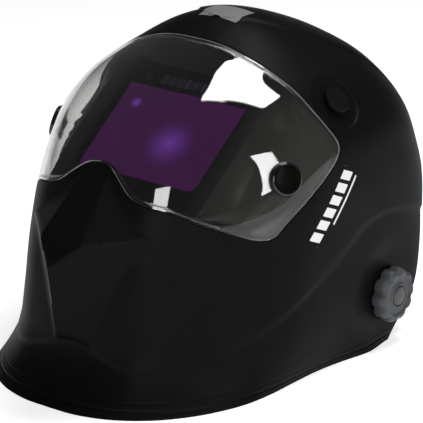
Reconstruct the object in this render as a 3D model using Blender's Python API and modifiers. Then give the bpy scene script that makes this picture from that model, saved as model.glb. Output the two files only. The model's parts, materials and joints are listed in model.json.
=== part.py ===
"""Welding helmet with an auto-darkening filter, standing on its rim.

Metres, +Z up, the face towards -Y and the wearer's left towards +X. The rim stands on Z = 0.
The shell is a polar grid about an upright axis through the crown. What sits in it takes its
place from the same surface, and the headgear hangs on the two pivots in the side walls.
"""
import math

import bmesh
import bpy
import numpy as np
from mathutils import Matrix, Vector
from mathutils.bvhtree import BVHTree

# ---- driving dimensions ------------------------------------------------------------------
GAP = 0.0003                   # kept between pieces that touch
WALL = 0.0025                  # shell wall
SHELL_WIDE = 1.0               # share of the shell's width in the table below
SHELL_TALL = 1.0               # share of its height
FRONT_REACH = 0.191            # crown axis to the front of the rim
BAND_BEHIND = 0.144            # crown axis to the back of the headband

PIVOT_BACK = 0.040             # pivots, behind the crown axis
PIVOT_Z = 0.036
PIVOT_PAD = 0.024              # radius of the flat seat under a tension knob
BOLT_R = 0.003
KNOB_R = 0.0195                # tension knobs
KNOB_DEEP = 0.0102
KNOB_LOBES = 10

VISOR_THICK = 0.002
LOCK_R = 0.0115                # visor locks
BUTTON_R = 0.0097              # grind button
BUTTON_PROUD = 0.0026
BUTTON_TRAVEL = 0.0015
DISH_R = 0.021                 # dish round the grind button

GLASS_W = 0.100                # viewing area of the filter
GLASS_H = 0.073
CASE_SIDE = 0.011              # filter case beyond the glass: sides, top and foot
CASE_TOP = 0.012
CASE_FOOT = 0.024
CASE_DEEP = 0.0100

BAND_HALF_W = 0.07875          # headband, to the middle of its strap
BAND_HALF_L = 0.094
BAND_TALL = 0.030
STRAP = 0.0015                 # thickness of every strap
CROWN_RISE = 0.106             # crown strap above the band's middle
RATCHET_R = 0.0225
PINION_R = 0.005
RACK_TRAVEL = 0.010

# ---- places ------------------------------------------------------------------------------
RATCHET_DEEP = 0.014           # housing, then the knob behind it
RATCHET_KNOB_DEEP = 0.013
LENGTH = FRONT_REACH + BAND_BEHIND + RATCHET_DEEP + RATCHET_KNOB_DEEP + 2 * GAP
CROWN_Y = FRONT_REACH - LENGTH / 2
PIVOT_Y = CROWN_Y + PIVOT_BACK
BAND_Y = CROWN_Y + BAND_BEHIND - BAND_HALF_L
BAND_Z = PIVOT_Z + 0.005

# level plans from the crown down: height, reach ahead of the crown axis, half width,
# reach behind it, fullness ahead and behind (2 is an ellipse), and the cheek chamfer
LEVELS = np.array([
    (0.2275, 0.000, 0.000, 0.000, 2.0, 2.0, 0.180),
    (0.2250, 0.016, 0.022, 0.020, 2.0, 2.0, 0.160),
    (0.2170, 0.034, 0.043, 0.045, 2.0, 2.0, 0.140),
    (0.2045, 0.067, 0.063, 0.072, 2.0, 2.3, 0.120),
    (0.1870, 0.101, 0.085, 0.094, 2.2, 2.8, 0.1044),
    (0.1600, 0.133, 0.105, 0.108, 2.5, 3.4, 0.1144),
    (0.1300, 0.148, 0.111, 0.114, 2.5, 4.0, 0.1244),
    (0.0950, 0.159, 0.112, 0.121, 2.5, 4.5, 0.1304),
    (0.0600, 0.164, 0.112, 0.121, 2.6, 5.0, 0.1339),
    (0.0300, 0.166, 0.111, 0.119, 2.8, 5.0, 0.1374),
    (-0.002, 0.166, 0.109, 0.117, 3.0, 5.0, 0.1424)])
CHAMFER = (0.82, -0.572)
# the rim seen from above, from the middle of the front, about the crown axis
RIM = np.array([
    (0.000, -0.193), (0.022, -0.192), (0.045, -0.185), (0.065, -0.172), (0.080, -0.156),
    (0.092, -0.136), (0.101, -0.111), (0.104, -0.086), (0.104, -0.059), (0.1045, -0.034),
    (0.1075, -0.011), (0.112, 0.011), (0.1125, 0.024), (0.110, 0.039), (0.106, 0.057),
    (0.095, 0.092)])
# the open back seen from the side: how far behind the crown axis it runs at each height
BACK_EDGE = np.array([
    (0.043, 0.000), (0.053, 0.010), (0.069, 0.024), (0.078, 0.042), (0.082, 0.065),
    (0.086, 0.090), (0.092, 0.112), (0.100, 0.132), (0.110, 0.150), (0.125, 0.165)])
FLARE_TALL = 0.042             # the rim flares out below this height
# faces of the nose: outward normal and a point on each, about the crown axis
NOSE = [
    ((0.0, -0.766, 0.643), (0.0, -0.136, 0.154)),
    ((0.308, -0.674, 0.671), (0.005, -0.1365, 0.1545)),
    ((-0.308, -0.674, 0.671), (-0.005, -0.1365, 0.1545)),
    ((0.703, -0.700, -0.125), (0.0, -0.190, 0.086)),
    ((-0.703, -0.700, -0.125), (0.0, -0.190, 0.086)),
    ((0.0, -0.350, 0.937), (0.0, -0.136, 0.156)),
    ((0.707, 0.0, 0.707), (0.005, -0.136, 0.1575)),
    ((-0.707, 0.0, 0.707), (-0.005, -0.136, 0.1575)),
    ((0.95, -0.30, 0.0), (0.052, -0.148, 0.100)),
    ((-0.95, -0.30, 0.0), (-0.052, -0.148, 0.100)),
    ((0.0, -0.60, -0.80), (0.0, -0.181, 0.050))]
# outline of the visor on the wearer's left half, from the nose round to the brow
VISOR_LINE = np.array([
    (0.000, -0.1354, 0.1560), (0.010, -0.137, 0.1540), (0.020, -0.139, 0.1465),
    (0.030, -0.140, 0.1385), (0.042, -0.139, 0.1345), (0.057, -0.136, 0.1310),
    (0.070, -0.119, 0.1220), (0.083, -0.102, 0.1140), (0.094, -0.087, 0.1072),
    (0.1015, -0.077, 0.1075), (0.107, -0.069, 0.1150), (0.109, -0.050, 0.1280),
    (0.110, -0.031, 0.1400), (0.109, -0.018, 0.1490), (0.106, -0.013, 0.1570),
    (0.100, -0.017, 0.1690), (0.090, -0.021, 0.1800), (0.075, -0.024, 0.1920),
    (0.060, -0.027, 0.2015), (0.045, -0.030, 0.2090), (0.024, -0.031, 0.2150),
    (0.000, -0.032, 0.2170)])
EYE = Vector((0.0, CROWN_Y - 0.020, 0.125 * SHELL_TALL))   # the visor's outline is a cone about it
VISOR_WAY = Vector((0.0, -0.72, 0.69))         # from there to the visor's middle

# the filter leans back: its frame has the glass's middle, the way up and the way out
LEAN_UP = Vector((0.0, 0.8, 0.6))
LEAN_OUT = Vector((0.0, -0.6, 0.8))
GLASS_MID = Vector((0.0, CROWN_Y - 0.0703, 0.1562 * SHELL_TALL))


# ---- scene and materials -----------------------------------------------------------------
for old in list(bpy.data.objects):
    bpy.data.objects.remove(old)
PARTS = bpy.data.collections.new("welding_helmet")
CUTTERS = bpy.data.collections.new("cutters")
bpy.context.scene.collection.children.link(PARTS)
bpy.context.scene.collection.children.link(CUTTERS)


def plastic(name, colour, roughness=0.5, metallic=0.0, alpha=1.0):
    material = bpy.data.materials.new(name)
    material.use_nodes = True
    shader = material.node_tree.nodes["Principled BSDF"]
    shader.inputs["Base Color"].default_value = (*colour, 1.0)
    shader.inputs["Roughness"].default_value = roughness
    shader.inputs["Metallic"].default_value = metallic
    shader.inputs["Alpha"].default_value = alpha
    return material


SHELL_BLACK = plastic("shell_black", (0.012, 0.012, 0.012), 0.42)
FRAME_BLACK = plastic("frame_black", (0.010, 0.010, 0.010), 0.55)
CLEAR = plastic("clear", (0.9, 0.9, 0.9), 0.05, alpha=0.25)
FILTER_PURPLE = plastic("filter_purple", (0.06, 0.012, 0.06), 0.1)
GLOSS_BLACK = plastic("gloss_black", (0.006, 0.006, 0.006), 0.12)
KNOB_GREY = plastic("knob_grey", (0.13, 0.135, 0.15), 0.5)
CAP_GREY = plastic("cap_grey", (0.08, 0.08, 0.08), 0.5)
STRAP_BLACK = plastic("strap_black", (0.015, 0.015, 0.016), 0.5)
PAD_CLOTH = plastic("pad_cloth", (0.03, 0.03, 0.033), 0.9)
CELL_BLUE = plastic("solar_cell", (0.01, 0.012, 0.03), 0.15)
STEEL = plastic("zinc_steel", (0.55, 0.55, 0.55), 0.35, 1.0)
LEAD_BLACK = plastic("lead_black", (0.02, 0.02, 0.02), 0.5)


# ---- helpers -----------------------------------------------------------------------------
def piece(name, mesh, material, place=None):
    """A sub-part's object, placed by a matrix, in the helmet's collection."""
    obj = bpy.data.objects.new(name, mesh)
    PARTS.objects.link(obj)
    mesh.materials.clear()
    mesh.materials.append(material)
    if place is not None:
        obj.matrix_world = place
    return obj


def face_outwards(bm, inside=None):
    """Point the faces outwards: away from a point inside, where the mesh is an open surface."""
    bmesh.ops.recalc_face_normals(bm, faces=bm.faces)
    bm.normal_update()
    if inside is not None and sum(f.normal.dot(f.calc_center_median() - inside) for f in bm.faces) < 0:
        bmesh.ops.reverse_faces(bm, faces=bm.faces)


def from_bmesh(name, bm, smooth=35.0):
    face_outwards(bm)
    mesh = bpy.data.meshes.new(name)
    bm.to_mesh(mesh)
    bm.free()
    mesh.shade_smooth()
    mesh.set_sharp_from_angle(angle=math.radians(smooth))
    return mesh


def as_cutter(obj):
    PARTS.objects.unlink(obj)
    CUTTERS.objects.link(obj)
    obj.hide_render = True
    obj.display_type = "WIRE"
    return obj


def boolean(obj, other, operation="DIFFERENCE"):
    cut = obj.modifiers.new(operation.lower(), "BOOLEAN")
    cut.operation = operation
    cut.solver = "EXACT"
    cut.object = other
    return cut


def frame_at(origin, out, up=Vector((0, 0, 1))):
    """A matrix whose local Z points out of a surface and whose local Y is as near up as it can be."""
    z = Vector(out).normalized()
    x = Vector(up).cross(z).normalized()
    y = z.cross(x)
    turn = Matrix((x, y, z)).transposed().to_4x4()
    return Matrix.Translation(origin) @ turn


def disc_mesh(name, radius, low, high, chamfer=0.0, sides=26):
    """A round plate between two heights along local Z, with both edges chamfered."""
    bm = bmesh.new()
    bmesh.ops.create_cone(bm, cap_ends=True, segments=sides, radius1=radius, radius2=radius,
                          depth=high - low, matrix=Matrix.Translation((0, 0, (low + high) / 2)))
    if chamfer:
        rims = [e for e in bm.edges if abs(e.verts[0].co.z - e.verts[1].co.z) < 1e-7]
        bmesh.ops.bevel(bm, geom=rims, offset=chamfer, segments=1, affect="EDGES")
    return from_bmesh(name, bm)


def box_mesh(name, low, high, bevel=0.0):
    low, high = Vector(low), Vector(high)
    bm = bmesh.new()
    bmesh.ops.create_cube(bm, size=1.0)
    for v in bm.verts:
        v.co = Vector([low[i] + (v.co[i] + 0.5) * (high[i] - low[i]) for i in range(3)])
    if bevel:
        bmesh.ops.bevel(bm, geom=bm.edges[:], offset=bevel, segments=1, affect="EDGES")
    return from_bmesh(name, bm)


def join(obj, other):
    """Union a helper solid into a piece."""
    boolean(obj, as_cutter(other), "UNION")


def cut_hole(obj, place, radius, low, high, sides=24):
    hole = piece("cut_" + obj.name, disc_mesh("hole", radius, low, high, sides=sides), STEEL, place)
    boolean(obj, as_cutter(hole))


def outline_mesh(name, points, low, high):
    """A flat outline in local XY, extruded from low to high along local Z."""
    bm = bmesh.new()
    face = bm.faces.new([bm.verts.new((x, y, low)) for x, y in points])
    top = bmesh.ops.extrude_face_region(bm, geom=[face])["geom"]
    for v in top:
        if isinstance(v, bmesh.types.BMVert):
            v.co.z = high
    return from_bmesh(name, bm)


# ---- the shell's surface -----------------------------------------------------------------
def spline(t, rows):
    """Catmull-Rom curve through the rows, at t from 0 to len(rows) - 1."""
    i = np.clip(np.floor(t).astype(int), 0, len(rows) - 2)
    f = (t - i)[..., None]
    run = np.vstack([2 * rows[0] - rows[1], rows, 2 * rows[-1] - rows[-2]])
    a, b, c, d = run[i], run[i + 1], run[i + 2], run[i + 3]
    return 0.5 * (2 * b + (c - a) * f + (2 * a - 5 * b + 4 * c - d) * f ** 2
                  + (3 * b - a - 3 * c + d) * f ** 3)


def smooth_max(a, b, blend):
    h = np.clip(0.5 + 0.5 * (a - b) / blend, 0, 1)
    return b * (1 - h) + a * h + blend * h * (1 - h)


def smooth_min(a, b, blend):
    return -smooth_max(-a, -b, blend)


def smooth_step(x, low, high):
    t = np.clip((x - low) / (high - low), 0, 1)
    return t * t * (3 - 2 * t)


def plan_radius(sx, sy, level):
    """Distance from the crown axis to the plan outline of a level, in the direction (sx, sy)."""
    z, ahead, half, behind, full_a, full_b, chamfer = np.moveaxis(level, -1, 0)
    reach = np.maximum(np.where(sy <= 0, ahead, behind), 1e-6)
    half = np.maximum(half, 1e-6)
    full = np.where(sy <= 0, full_a, full_b)
    radius = ((np.abs(sx) / half) ** full + (np.abs(sy) / reach) ** full) ** (-1 / full)
    facing = CHAMFER[0] * np.abs(sx) + CHAMFER[1] * sy
    flat = np.where(facing > 0.1, chamfer / np.maximum(facing, 0.1), 2.0)
    return smooth_min(radius, flat, 0.014)


RIM_RUN = spline(np.linspace(0, len(RIM) - 1, 300), RIM)
RIM_TURN = np.arctan2(RIM_RUN[:, 0], -RIM_RUN[:, 1])
RIM_REACH = np.hypot(RIM_RUN[:, 0], RIM_RUN[:, 1])


def shell_point(turn, t):
    """Outer surface at a turn about the crown axis (0 ahead, pi behind) and a level t."""
    turn, t = np.broadcast_arrays(turn, t)
    sx, sy = np.sin(turn), -np.cos(turn)
    level = spline(np.maximum(t, 1), LEVELS)
    cap = np.clip(t, 0, 1)
    radius = plan_radius(sx, sy, level) * cap
    z = np.where(t < 1, LEVELS[0, 0] - (LEVELS[0, 0] - LEVELS[1, 0]) * cap ** 2, level[..., 0])
    nose = None
    for normal, point in NOSE:
        facing = normal[0] * sx + normal[1] * sy
        room = np.dot(normal, point) - normal[2] * z
        reach = np.clip(np.where(facing > 0.01, room / np.maximum(facing, 0.01), 0.4), 0, 0.4)
        nose = reach if nose is None else smooth_min(nose, reach, 0.010)
    radius = np.where(sy < -0.4, smooth_max(radius, nose, 0.008), radius)
    at_foot = plan_radius(sx, sy, np.broadcast_to(LEVELS[-1], radius.shape + (7,)))
    rim = np.interp(np.arctan2(np.abs(sx), -sy), RIM_TURN, RIM_REACH)
    radius = radius + (rim - at_foot) * np.clip(1 - z / FLARE_TALL, 0, 1) ** 2.2
    return np.stack([radius * sx * SHELL_WIDE, CROWN_Y + radius * sy, z * SHELL_TALL], -1)


SIDE_X = float(shell_point(np.array(math.pi - math.atan2(LEVELS[9, 2], PIVOT_BACK)), np.array(8.8))[0])
PIVOT_X = SIDE_X - 0.0015      # outer face of the flat seat under a knob
BUTTON_AT = (0.095, 0.003, 0.185)


def surface_mesh(turns, rows):
    """The left half of the outer surface as an open mesh, from the crown to below the floor."""
    levels = np.linspace(0, len(LEVELS) - 1, rows)
    grid = shell_point(np.array(turns)[None, :], levels[:, None])
    grid[:, 0, 0] = 0.0
    grid[:, -1, 0] = 0.0
    bm = bmesh.new()
    crown = bm.verts.new(grid[0, 0])
    verts = [[crown] * len(turns)]
    for i in range(1, rows):
        verts.append([bm.verts.new(p) for p in grid[i]])
    for i in range(rows - 1):
        for j in range(len(turns) - 1):
            ring = [verts[i][j], verts[i + 1][j], verts[i + 1][j + 1], verts[i][j + 1]]
            bm.faces.new(ring if i else ring[:3])
    return bm


TURNS = np.radians([0, 2.5, 5, 8, 12, 16, 21, 27, 34, 42, 50, 59, 68, 76, 84, 92, 100, 107,
                    113, 119, 125, 131, 137, 144, 153, 162, 171, 180])
ROWS = 29


def whole_surface():
    """Both halves of the outer surface, for casting rays at."""
    bm = surface_mesh(TURNS, ROWS)
    bmesh.ops.mirror(bm, geom=bm.verts[:] + bm.edges[:] + bm.faces[:], axis="X", merge_dist=1e-6)
    bmesh.ops.recalc_face_normals(bm, faces=bm.faces)
    return bm


SKIN_BM = whole_surface()
SKIN = BVHTree.FromBMesh(SKIN_BM)


def cast(direction, depth=0.0):
    """The point under the outer surface, that deep, in a direction from the eye point."""
    hit, normal, _, _ = SKIN.ray_cast(EYE, direction)
    if normal.dot(direction) < 0:
        normal = -normal
    return hit - normal * depth, normal


def dress_shell(bm):
    """Flatten the side walls where the tension knobs sit."""
    for v in bm.verts:
        seat = math.hypot(v.co.y - PIVOT_Y, v.co.z - PIVOT_Z)
        if seat < 2 * PIVOT_PAD and v.co.z < 0.1:
            part = 1 - float(smooth_step(seat, PIVOT_PAD, 2 * PIVOT_PAD))
            v.co.x += (PIVOT_X - v.co.x) * part


def helmet_shell():
    bm = surface_mesh(TURNS, ROWS)
    dress_shell(bm)
    face_outwards(bm, EYE)
    mesh = bpy.data.meshes.new("helmet_shell")
    bm.to_mesh(mesh)
    bm.free()
    mesh.shade_smooth()
    shell = piece("helmet_shell", mesh, SHELL_BLACK)
    mirror = shell.modifiers.new("mirror", "MIRROR")
    mirror.use_axis = (True, False, False)
    mirror.use_clip = True
    mirror.merge_threshold = 0.00005
    wall = shell.modifiers.new("wall", "SOLIDIFY")
    wall.thickness = WALL
    wall.offset = -1.0
    boolean(shell, side_cutter())
    boolean(shell, cone_cutter("window_cutter", GAP))
    return shell


def side_cutter():
    """What lies behind the open back's edge, and what lies under the floor."""
    reach, low = 0.25, -0.02
    edge = [(CROWN_Y + y, z * SHELL_TALL) for y, z in BACK_EDGE]
    outline = [(-reach, low), (reach, low), (reach, edge[-1][1])] + edge[::-1] + [(-reach, 0.0)]
    turn = Matrix(((0, 0, 1), (1, 0, 0), (0, 1, 0))).to_4x4()
    return as_cutter(piece("side_cutter", outline_mesh("side_cutter", outline, -reach, reach),
                           STEEL, turn))


def visor_ring(grow, depth, count=21, share=1.0):
    """The visor's outline, grown or shrunk about its middle and sunk under the surface."""
    half = spline(np.linspace(0, len(VISOR_LINE) - 1, count), VISOR_LINE)
    half = half * np.array((SHELL_WIDE, 1.0, SHELL_TALL))
    points = [Vector((p[0], p[1] + CROWN_Y, p[2])) for p in half]
    points += [Vector((-p.x, p.y, p.z)) for p in points[-2:0:-1]]
    middle = cast(VISOR_WAY)[0]
    ring = []
    for p in points:
        moved = p + (p - middle).normalized() * grow
        moved = cast(moved - EYE)[0]
        ring.append(cast(middle + (moved - middle) * share - EYE, depth)[0])
    return ring


def cone_cutter(name, grow):
    """A closed block of the visor's outline through the wall, with its sides aimed at the eye point."""
    rings = [visor_ring(grow, 0.0, share=share) for share in (1.0, 0.8, 0.6, 0.4, 0.2)]
    middle = cast(VISOR_WAY)[0]
    bm = bmesh.new()
    faces = []
    for reach in (0.84, 1.08):
        rows = [[bm.verts.new(EYE + (p - EYE) * reach) for p in ring] for ring in rings]
        tip = bm.verts.new(EYE + (middle - EYE) * reach)
        count = len(rings[0])
        for a, b in zip(rows, rows[1:]):
            for i in range(count):
                bm.faces.new((a[i], a[(i + 1) % count], b[(i + 1) % count], b[i]))
        for i in range(count):
            bm.faces.new((rows[-1][i], rows[-1][(i + 1) % count], tip))
        faces.append(rows[0])
    near, far = faces
    for i in range(count):
        j = (i + 1) % count
        bm.faces.new((near[i], near[j], far[j], far[i]))
    return as_cutter(piece(name, from_bmesh(name, bm), CLEAR))


def sheet_from_rings(name, rings, material, thickness, closed_middle=False):
    """An open sheet through matching rings, given its thickness on the inner side."""
    bm = bmesh.new()
    rows = [[bm.verts.new(p) for p in ring] for ring in rings]
    count = len(rings[0])
    for a, b in zip(rows, rows[1:]):
        for i in range(count):
            j = (i + 1) % count
            bm.faces.new((a[i], a[j], b[j], b[i]))
    if closed_middle:
        middle = bm.verts.new(cast(VISOR_WAY)[0])
        for i in range(count):
            bm.faces.new((rows[-1][i], rows[-1][(i + 1) % count], middle))
    face_outwards(bm, EYE)
    mesh = bpy.data.meshes.new(name)
    bm.to_mesh(mesh)
    bm.free()
    mesh.shade_smooth()
    obj = piece(name, mesh, material)
    wall = obj.modifiers.new("wall", "SOLIDIFY")
    wall.thickness = thickness
    wall.offset = -1.0
    return obj


def outer_visor():
    rings = [visor_ring(-5 * GAP, 0.0, share=share) for share in (1.0, 0.84, 0.66, 0.46, 0.24)]
    return sheet_from_rings("outer_visor", rings, CLEAR, VISOR_THICK, closed_middle=True)


# ---- lens frame and filter ---------------------------------------------------------------
def on_filter(x, up, out=0.0):
    """A point in the leaning filter's frame, from the middle of the glass."""
    return GLASS_MID + Vector((x, 0, 0)) + LEAN_UP * up + LEAN_OUT * out


FILTER_FRAME = frame_at(GLASS_MID, LEAN_OUT, LEAN_UP)
CASE_X = GLASS_W / 2 + CASE_SIDE
CASE_HIGH = GLASS_H / 2 + CASE_TOP
CASE_LOW = -GLASS_H / 2 - CASE_FOOT
CASE_FRONT = 0.0015            # face of the case ahead of the glass
CASE_BACK = CASE_FRONT - CASE_DEEP
LEDGE_DEPTH = WALL + 0.0013    # the lens frame's flange, under the shell and the visor
FRAME_WALL = 0.0018
BEZEL_SIDE = 0.0040            # the lens frame's flat face, beyond the case on every side
SIGHT_SIDE = 0.002             # its opening, beyond the glass


def rectangle_ring(ring, x, low, high, out):
    """One point on the mouth's rectangle for each point of an outline ring."""
    middle = on_filter(0, (low + high) / 2, out)
    points = []
    for p in ring:
        way = p - middle
        a, b = way.x, way.dot(LEAN_UP)
        span = (high - low) / 2
        share = max(abs(a) / x, abs(b) / span)
        points.append(middle + Vector((a / share, 0, 0)) + LEAN_UP * (b / share))
    return points


def lens_frame():
    """The black frame behind the visor: a flange, a funnel and the mouth the filter sits on."""
    flange = visor_ring(0.0050, LEDGE_DEPTH)
    brink = visor_ring(-0.0030, LEDGE_DEPTH)
    front = CASE_FRONT + FRAME_WALL + GAP
    mouth = rectangle_ring(brink, CASE_X + BEZEL_SIDE, CASE_LOW - BEZEL_SIDE, CASE_HIGH + BEZEL_SIDE, front)
    inside = rectangle_ring(brink, GLASS_W / 2 + SIGHT_SIDE, -GLASS_H / 2 - SIGHT_SIDE, CASE_HIGH - SIGHT_SIDE,
                            front)
    middle = [m + (b - m) * 0.45 for b, m in zip(brink, mouth)]
    return sheet_from_rings("lens_frame", [flange, brink, middle, mouth, inside], FRAME_BLACK, FRAME_WALL)


def filter_box(name, material, x, low, high, back, front, bevel=0.0, side=0.0):
    mesh = box_mesh(name, (side - x, low, back), (side + x, high, front), bevel)
    return piece(name, mesh, material, FILTER_FRAME)


def filter_case():
    """The cartridge's body, open through the window, with a pocket for the battery tray."""
    case = filter_box("filter_case", FRAME_BLACK, CASE_X, CASE_LOW, CASE_HIGH, CASE_BACK, CASE_FRONT, 0.0012)
    window = filter_box("cut_window", STEEL, GLASS_W / 2, -GLASS_H / 2, GLASS_H / 2, -0.03, 0.03)
    boolean(case, as_cutter(window))
    pocket = filter_box("cut_pocket", STEEL, TRAY_X + GAP, CASE_LOW - 0.01, TRAY_TOP + GAP,
                        TRAY_BACK - GAP, TRAY_FRONT + GAP, side=TRAY_SIDE)
    boolean(case, as_cutter(pocket))
    for side in KNOB_SIDES:
        cut_hole(case, FILTER_FRAME @ Matrix.Translation((side, CASE_STRIP, 0)), SPINDLE_R + 0.0004,
                 CASE_BACK - 0.01, CASE_BACK + SPINDLE_DEEP, sides=16)
    return case


CASE_STRIP = (CASE_LOW - GLASS_H / 2) / 2      # middle of the strip below the glass
KNOB_SIDES = (-0.042, -0.018)
SPINDLE_R = 0.003
SPINDLE_DEEP = 0.004
DIAL_R = 0.0085
DIAL_DEEP = 0.0075
RETAINER_WALL = 0.0025
LEAD_R = 0.0015                # grind switch's lead, and where it enters the top of the case
LEAD_SIDE = 0.046
TRAY_SIDE = 0.028
TRAY_X = 0.0125
TRAY_TOP = -GLASS_H / 2 - 0.0015
TRAY_FRONT = CASE_FRONT - 0.0022
TRAY_BACK = TRAY_FRONT - 0.0052
TRAY_TRAVEL = 0.024
CELL_R = 0.0100
CELL_DEEP = 0.0032


def dial(name, side):
    """A control knob on the case's inner face: ribbed barrel, spindle and pointer."""
    place = FILTER_FRAME @ Matrix.Translation((side, CASE_STRIP, CASE_BACK)) @ Matrix.Rotation(math.pi, 4, "X")
    bm = bmesh.new()
    count = 24
    rings = []
    for z, r in ((0.0004, DIAL_R), (DIAL_DEEP - 0.001, DIAL_R - 0.0006), (DIAL_DEEP, DIAL_R - 0.0016)):
        ring = []
        for i in range(count):
            a = 2 * math.pi * i / count
            reach = r - (0.0006 if i % 2 else 0.0)
            ring.append(bm.verts.new((reach * math.cos(a), reach * math.sin(a), z)))
        rings.append(ring)
    for low, high in zip(rings, rings[1:]):
        for i in range(count):
            j = (i + 1) % count
            bm.faces.new((low[i], low[j], high[j], high[i]))
    bm.faces.new(rings[0])
    bm.faces.new(rings[-1])
    knob = piece(name, from_bmesh(name, bm), GLOSS_BLACK, place)
    join(knob, piece("spindle", disc_mesh("spindle", SPINDLE_R, -SPINDLE_DEEP + 0.0008, 0.002, sides=16),
                     GLOSS_BLACK, place))
    join(knob, piece("pointer", box_mesh("pointer", (-0.0006, 0.001, DIAL_DEEP - 0.0008),
                                         (0.0006, DIAL_R - 0.0008, DIAL_DEEP + 0.0006)), GLOSS_BLACK, place))
    return knob


def battery_tray():
    """The drawer that carries the coin cell, and the cell in it."""
    tray = filter_box("battery_tray", FRAME_BLACK, TRAY_X, CASE_LOW - 0.002, TRAY_TOP, TRAY_BACK,
                      TRAY_FRONT, 0.0004, side=TRAY_SIDE)
    middle = (CASE_LOW - 0.002 + TRAY_TOP) / 2
    place = FILTER_FRAME @ Matrix.Translation((TRAY_SIDE, middle, 0))
    cut_hole(tray, place, CELL_R + GAP, TRAY_FRONT - CELL_DEEP - 2 * GAP, TRAY_FRONT + 0.01, sides=32)
    piece("coin_cell", disc_mesh("coin_cell", CELL_R, TRAY_FRONT - CELL_DEEP - GAP, TRAY_FRONT - GAP,
                                 0.0004), STEEL, place)
    return tray


def filter_pieces():
    filter_case()
    slack = GAP
    filter_box("filter_glass", FILTER_PURPLE, GLASS_W / 2 - slack, -GLASS_H / 2 + slack,
               GLASS_H / 2 - slack, -0.0050, 0.0)
    filter_box("inner_cover_lens", CLEAR, GLASS_W / 2 + 0.004, -GLASS_H / 2 - 0.001, GLASS_H / 2 + 0.004,
               CASE_BACK - GAP - 0.001, CASE_BACK - GAP)
    strip = (GLASS_H / 2 + CASE_HIGH) / 2
    filter_box("solar_cell", CELL_BLUE, 0.026, strip - 0.0035, strip + 0.0035, CASE_FRONT + GAP,
               CASE_FRONT + GAP + 0.0008)
    for name, side in (("left_arc_sensor", 0.036), ("right_arc_sensor", -0.036)):
        place = FILTER_FRAME @ Matrix.Translation((side, strip, 0))
        piece(name, disc_mesh(name, 0.0032, CASE_FRONT + GAP, CASE_FRONT + GAP + 0.0012, 0.0004, 20),
              GLOSS_BLACK, place)
    dial("sensitivity_knob", KNOB_SIDES[0])
    dial("delay_knob", KNOB_SIDES[1])
    battery_tray()
    retainer = filter_box("filter_retainer", FRAME_BLACK, CASE_X + RETAINER_WALL, -GLASS_H / 2 - 0.002,
                          CASE_HIGH + RETAINER_WALL, CASE_BACK - 0.0036, CASE_FRONT - 0.0030, 0.0006)
    boolean(retainer, as_cutter(filter_box("cut_case", STEEL, CASE_X + GAP, CASE_LOW - 0.01,
                                           CASE_HIGH + GAP, CASE_BACK - GAP - 0.0013, 0.02)))
    boolean(retainer, as_cutter(filter_box("cut_view", STEEL, GLASS_W / 2 + 0.001, -0.06,
                                           GLASS_H / 2 + 0.001, -0.03, 0.02)))
    boolean(retainer, as_cutter(filter_box("cut_lead", STEEL, 3 * LEAD_R, CASE_HIGH - 0.001,
                                           CASE_HIGH + 0.02, -0.03, 0.02, side=LEAD_SIDE)))


# ---- visor locks and grind button --------------------------------------------------------
def surface_place(x, y, z):
    """A matrix on the outer surface nearest a point, with local Z along the outward normal."""
    hit, normal, _, _ = SKIN.find_nearest(Vector((x * SHELL_WIDE, CROWN_Y + y, z * SHELL_TALL)))
    if normal.dot(hit - EYE) < 0:
        normal = -normal
    return frame_at(hit, normal)


LOCK_AT = (0.106, -0.067, 0.1475)


def visor_lock(name, side):
    """A disc that turns a quarter to free the visor, with a finger slot and a stem."""
    place = surface_place(side * LOCK_AT[0], LOCK_AT[1], LOCK_AT[2])
    lock = piece(name, disc_mesh(name, LOCK_R, 0.0010, 0.0032, 0.0006, 36), GLOSS_BLACK, place)
    join(lock, piece("stem", disc_mesh("stem", 0.0040, -0.0032, 0.0020, sides=20), GLOSS_BLACK, place))
    return lock, place


def grind_button(place):
    button = piece("grind_button", disc_mesh("grind_button", BUTTON_R, BUTTON_LOW, BUTTON_LOW + BUTTON_PROUD,
                                             0.0007, 36), SHELL_BLACK, place)
    join(button, piece("plunger", disc_mesh("plunger", 0.0030, -0.0085, BUTTON_LOW + 0.001, sides=16),
                       SHELL_BLACK, place))
    return button


BUTTON_SEAT = 0.0012           # the flat round the button, under the surface
BUTTON_LOW = BUTTON_TRAVEL + 0.0004 - BUTTON_SEAT
SWITCH_LOW = -0.0200           # foot of the switch under it


# ---- headgear ----------------------------------------------------------------------------
def band_reach(turn):
    """Plan of the headband about its middle: an ellipse ahead, fuller and straighter behind."""
    full = 2.0 if math.cos(turn) >= 0 else 4.0
    return (abs(math.sin(turn) / BAND_HALF_W) ** full + abs(math.cos(turn) / BAND_HALF_L) ** full) ** (-1 / full)


def band_point(turn, z=0.0, grow=0.0):
    reach = band_reach(turn) + grow
    return Vector((reach * math.sin(turn), BAND_Y - reach * math.cos(turn), BAND_Z + z))


def band_strip(name, turns, low, high, grow, material, thickness, taper=None):
    """A strap bent along the headband's plan, between two heights."""
    bm = bmesh.new()
    rows = []
    for a in turns:
        share = taper(a) if taper else 1.0
        rows.append([bm.verts.new(band_point(a, z * share, grow)) for z in (low, (low + high) / 2, high)])
    for a, b in zip(rows, rows[1:]):
        for i in range(2):
            bm.faces.new((a[i], b[i], b[i + 1], a[i + 1]))
    face_outwards(bm, Vector((0, BAND_Y, BAND_Z)))
    mesh = bpy.data.meshes.new(name)
    bm.to_mesh(mesh)
    bm.free()
    mesh.shade_smooth()
    obj = piece(name, mesh, material)
    wall = obj.modifiers.new("wall", "SOLIDIFY")
    wall.thickness = thickness
    wall.offset = 0.0
    return obj


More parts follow.
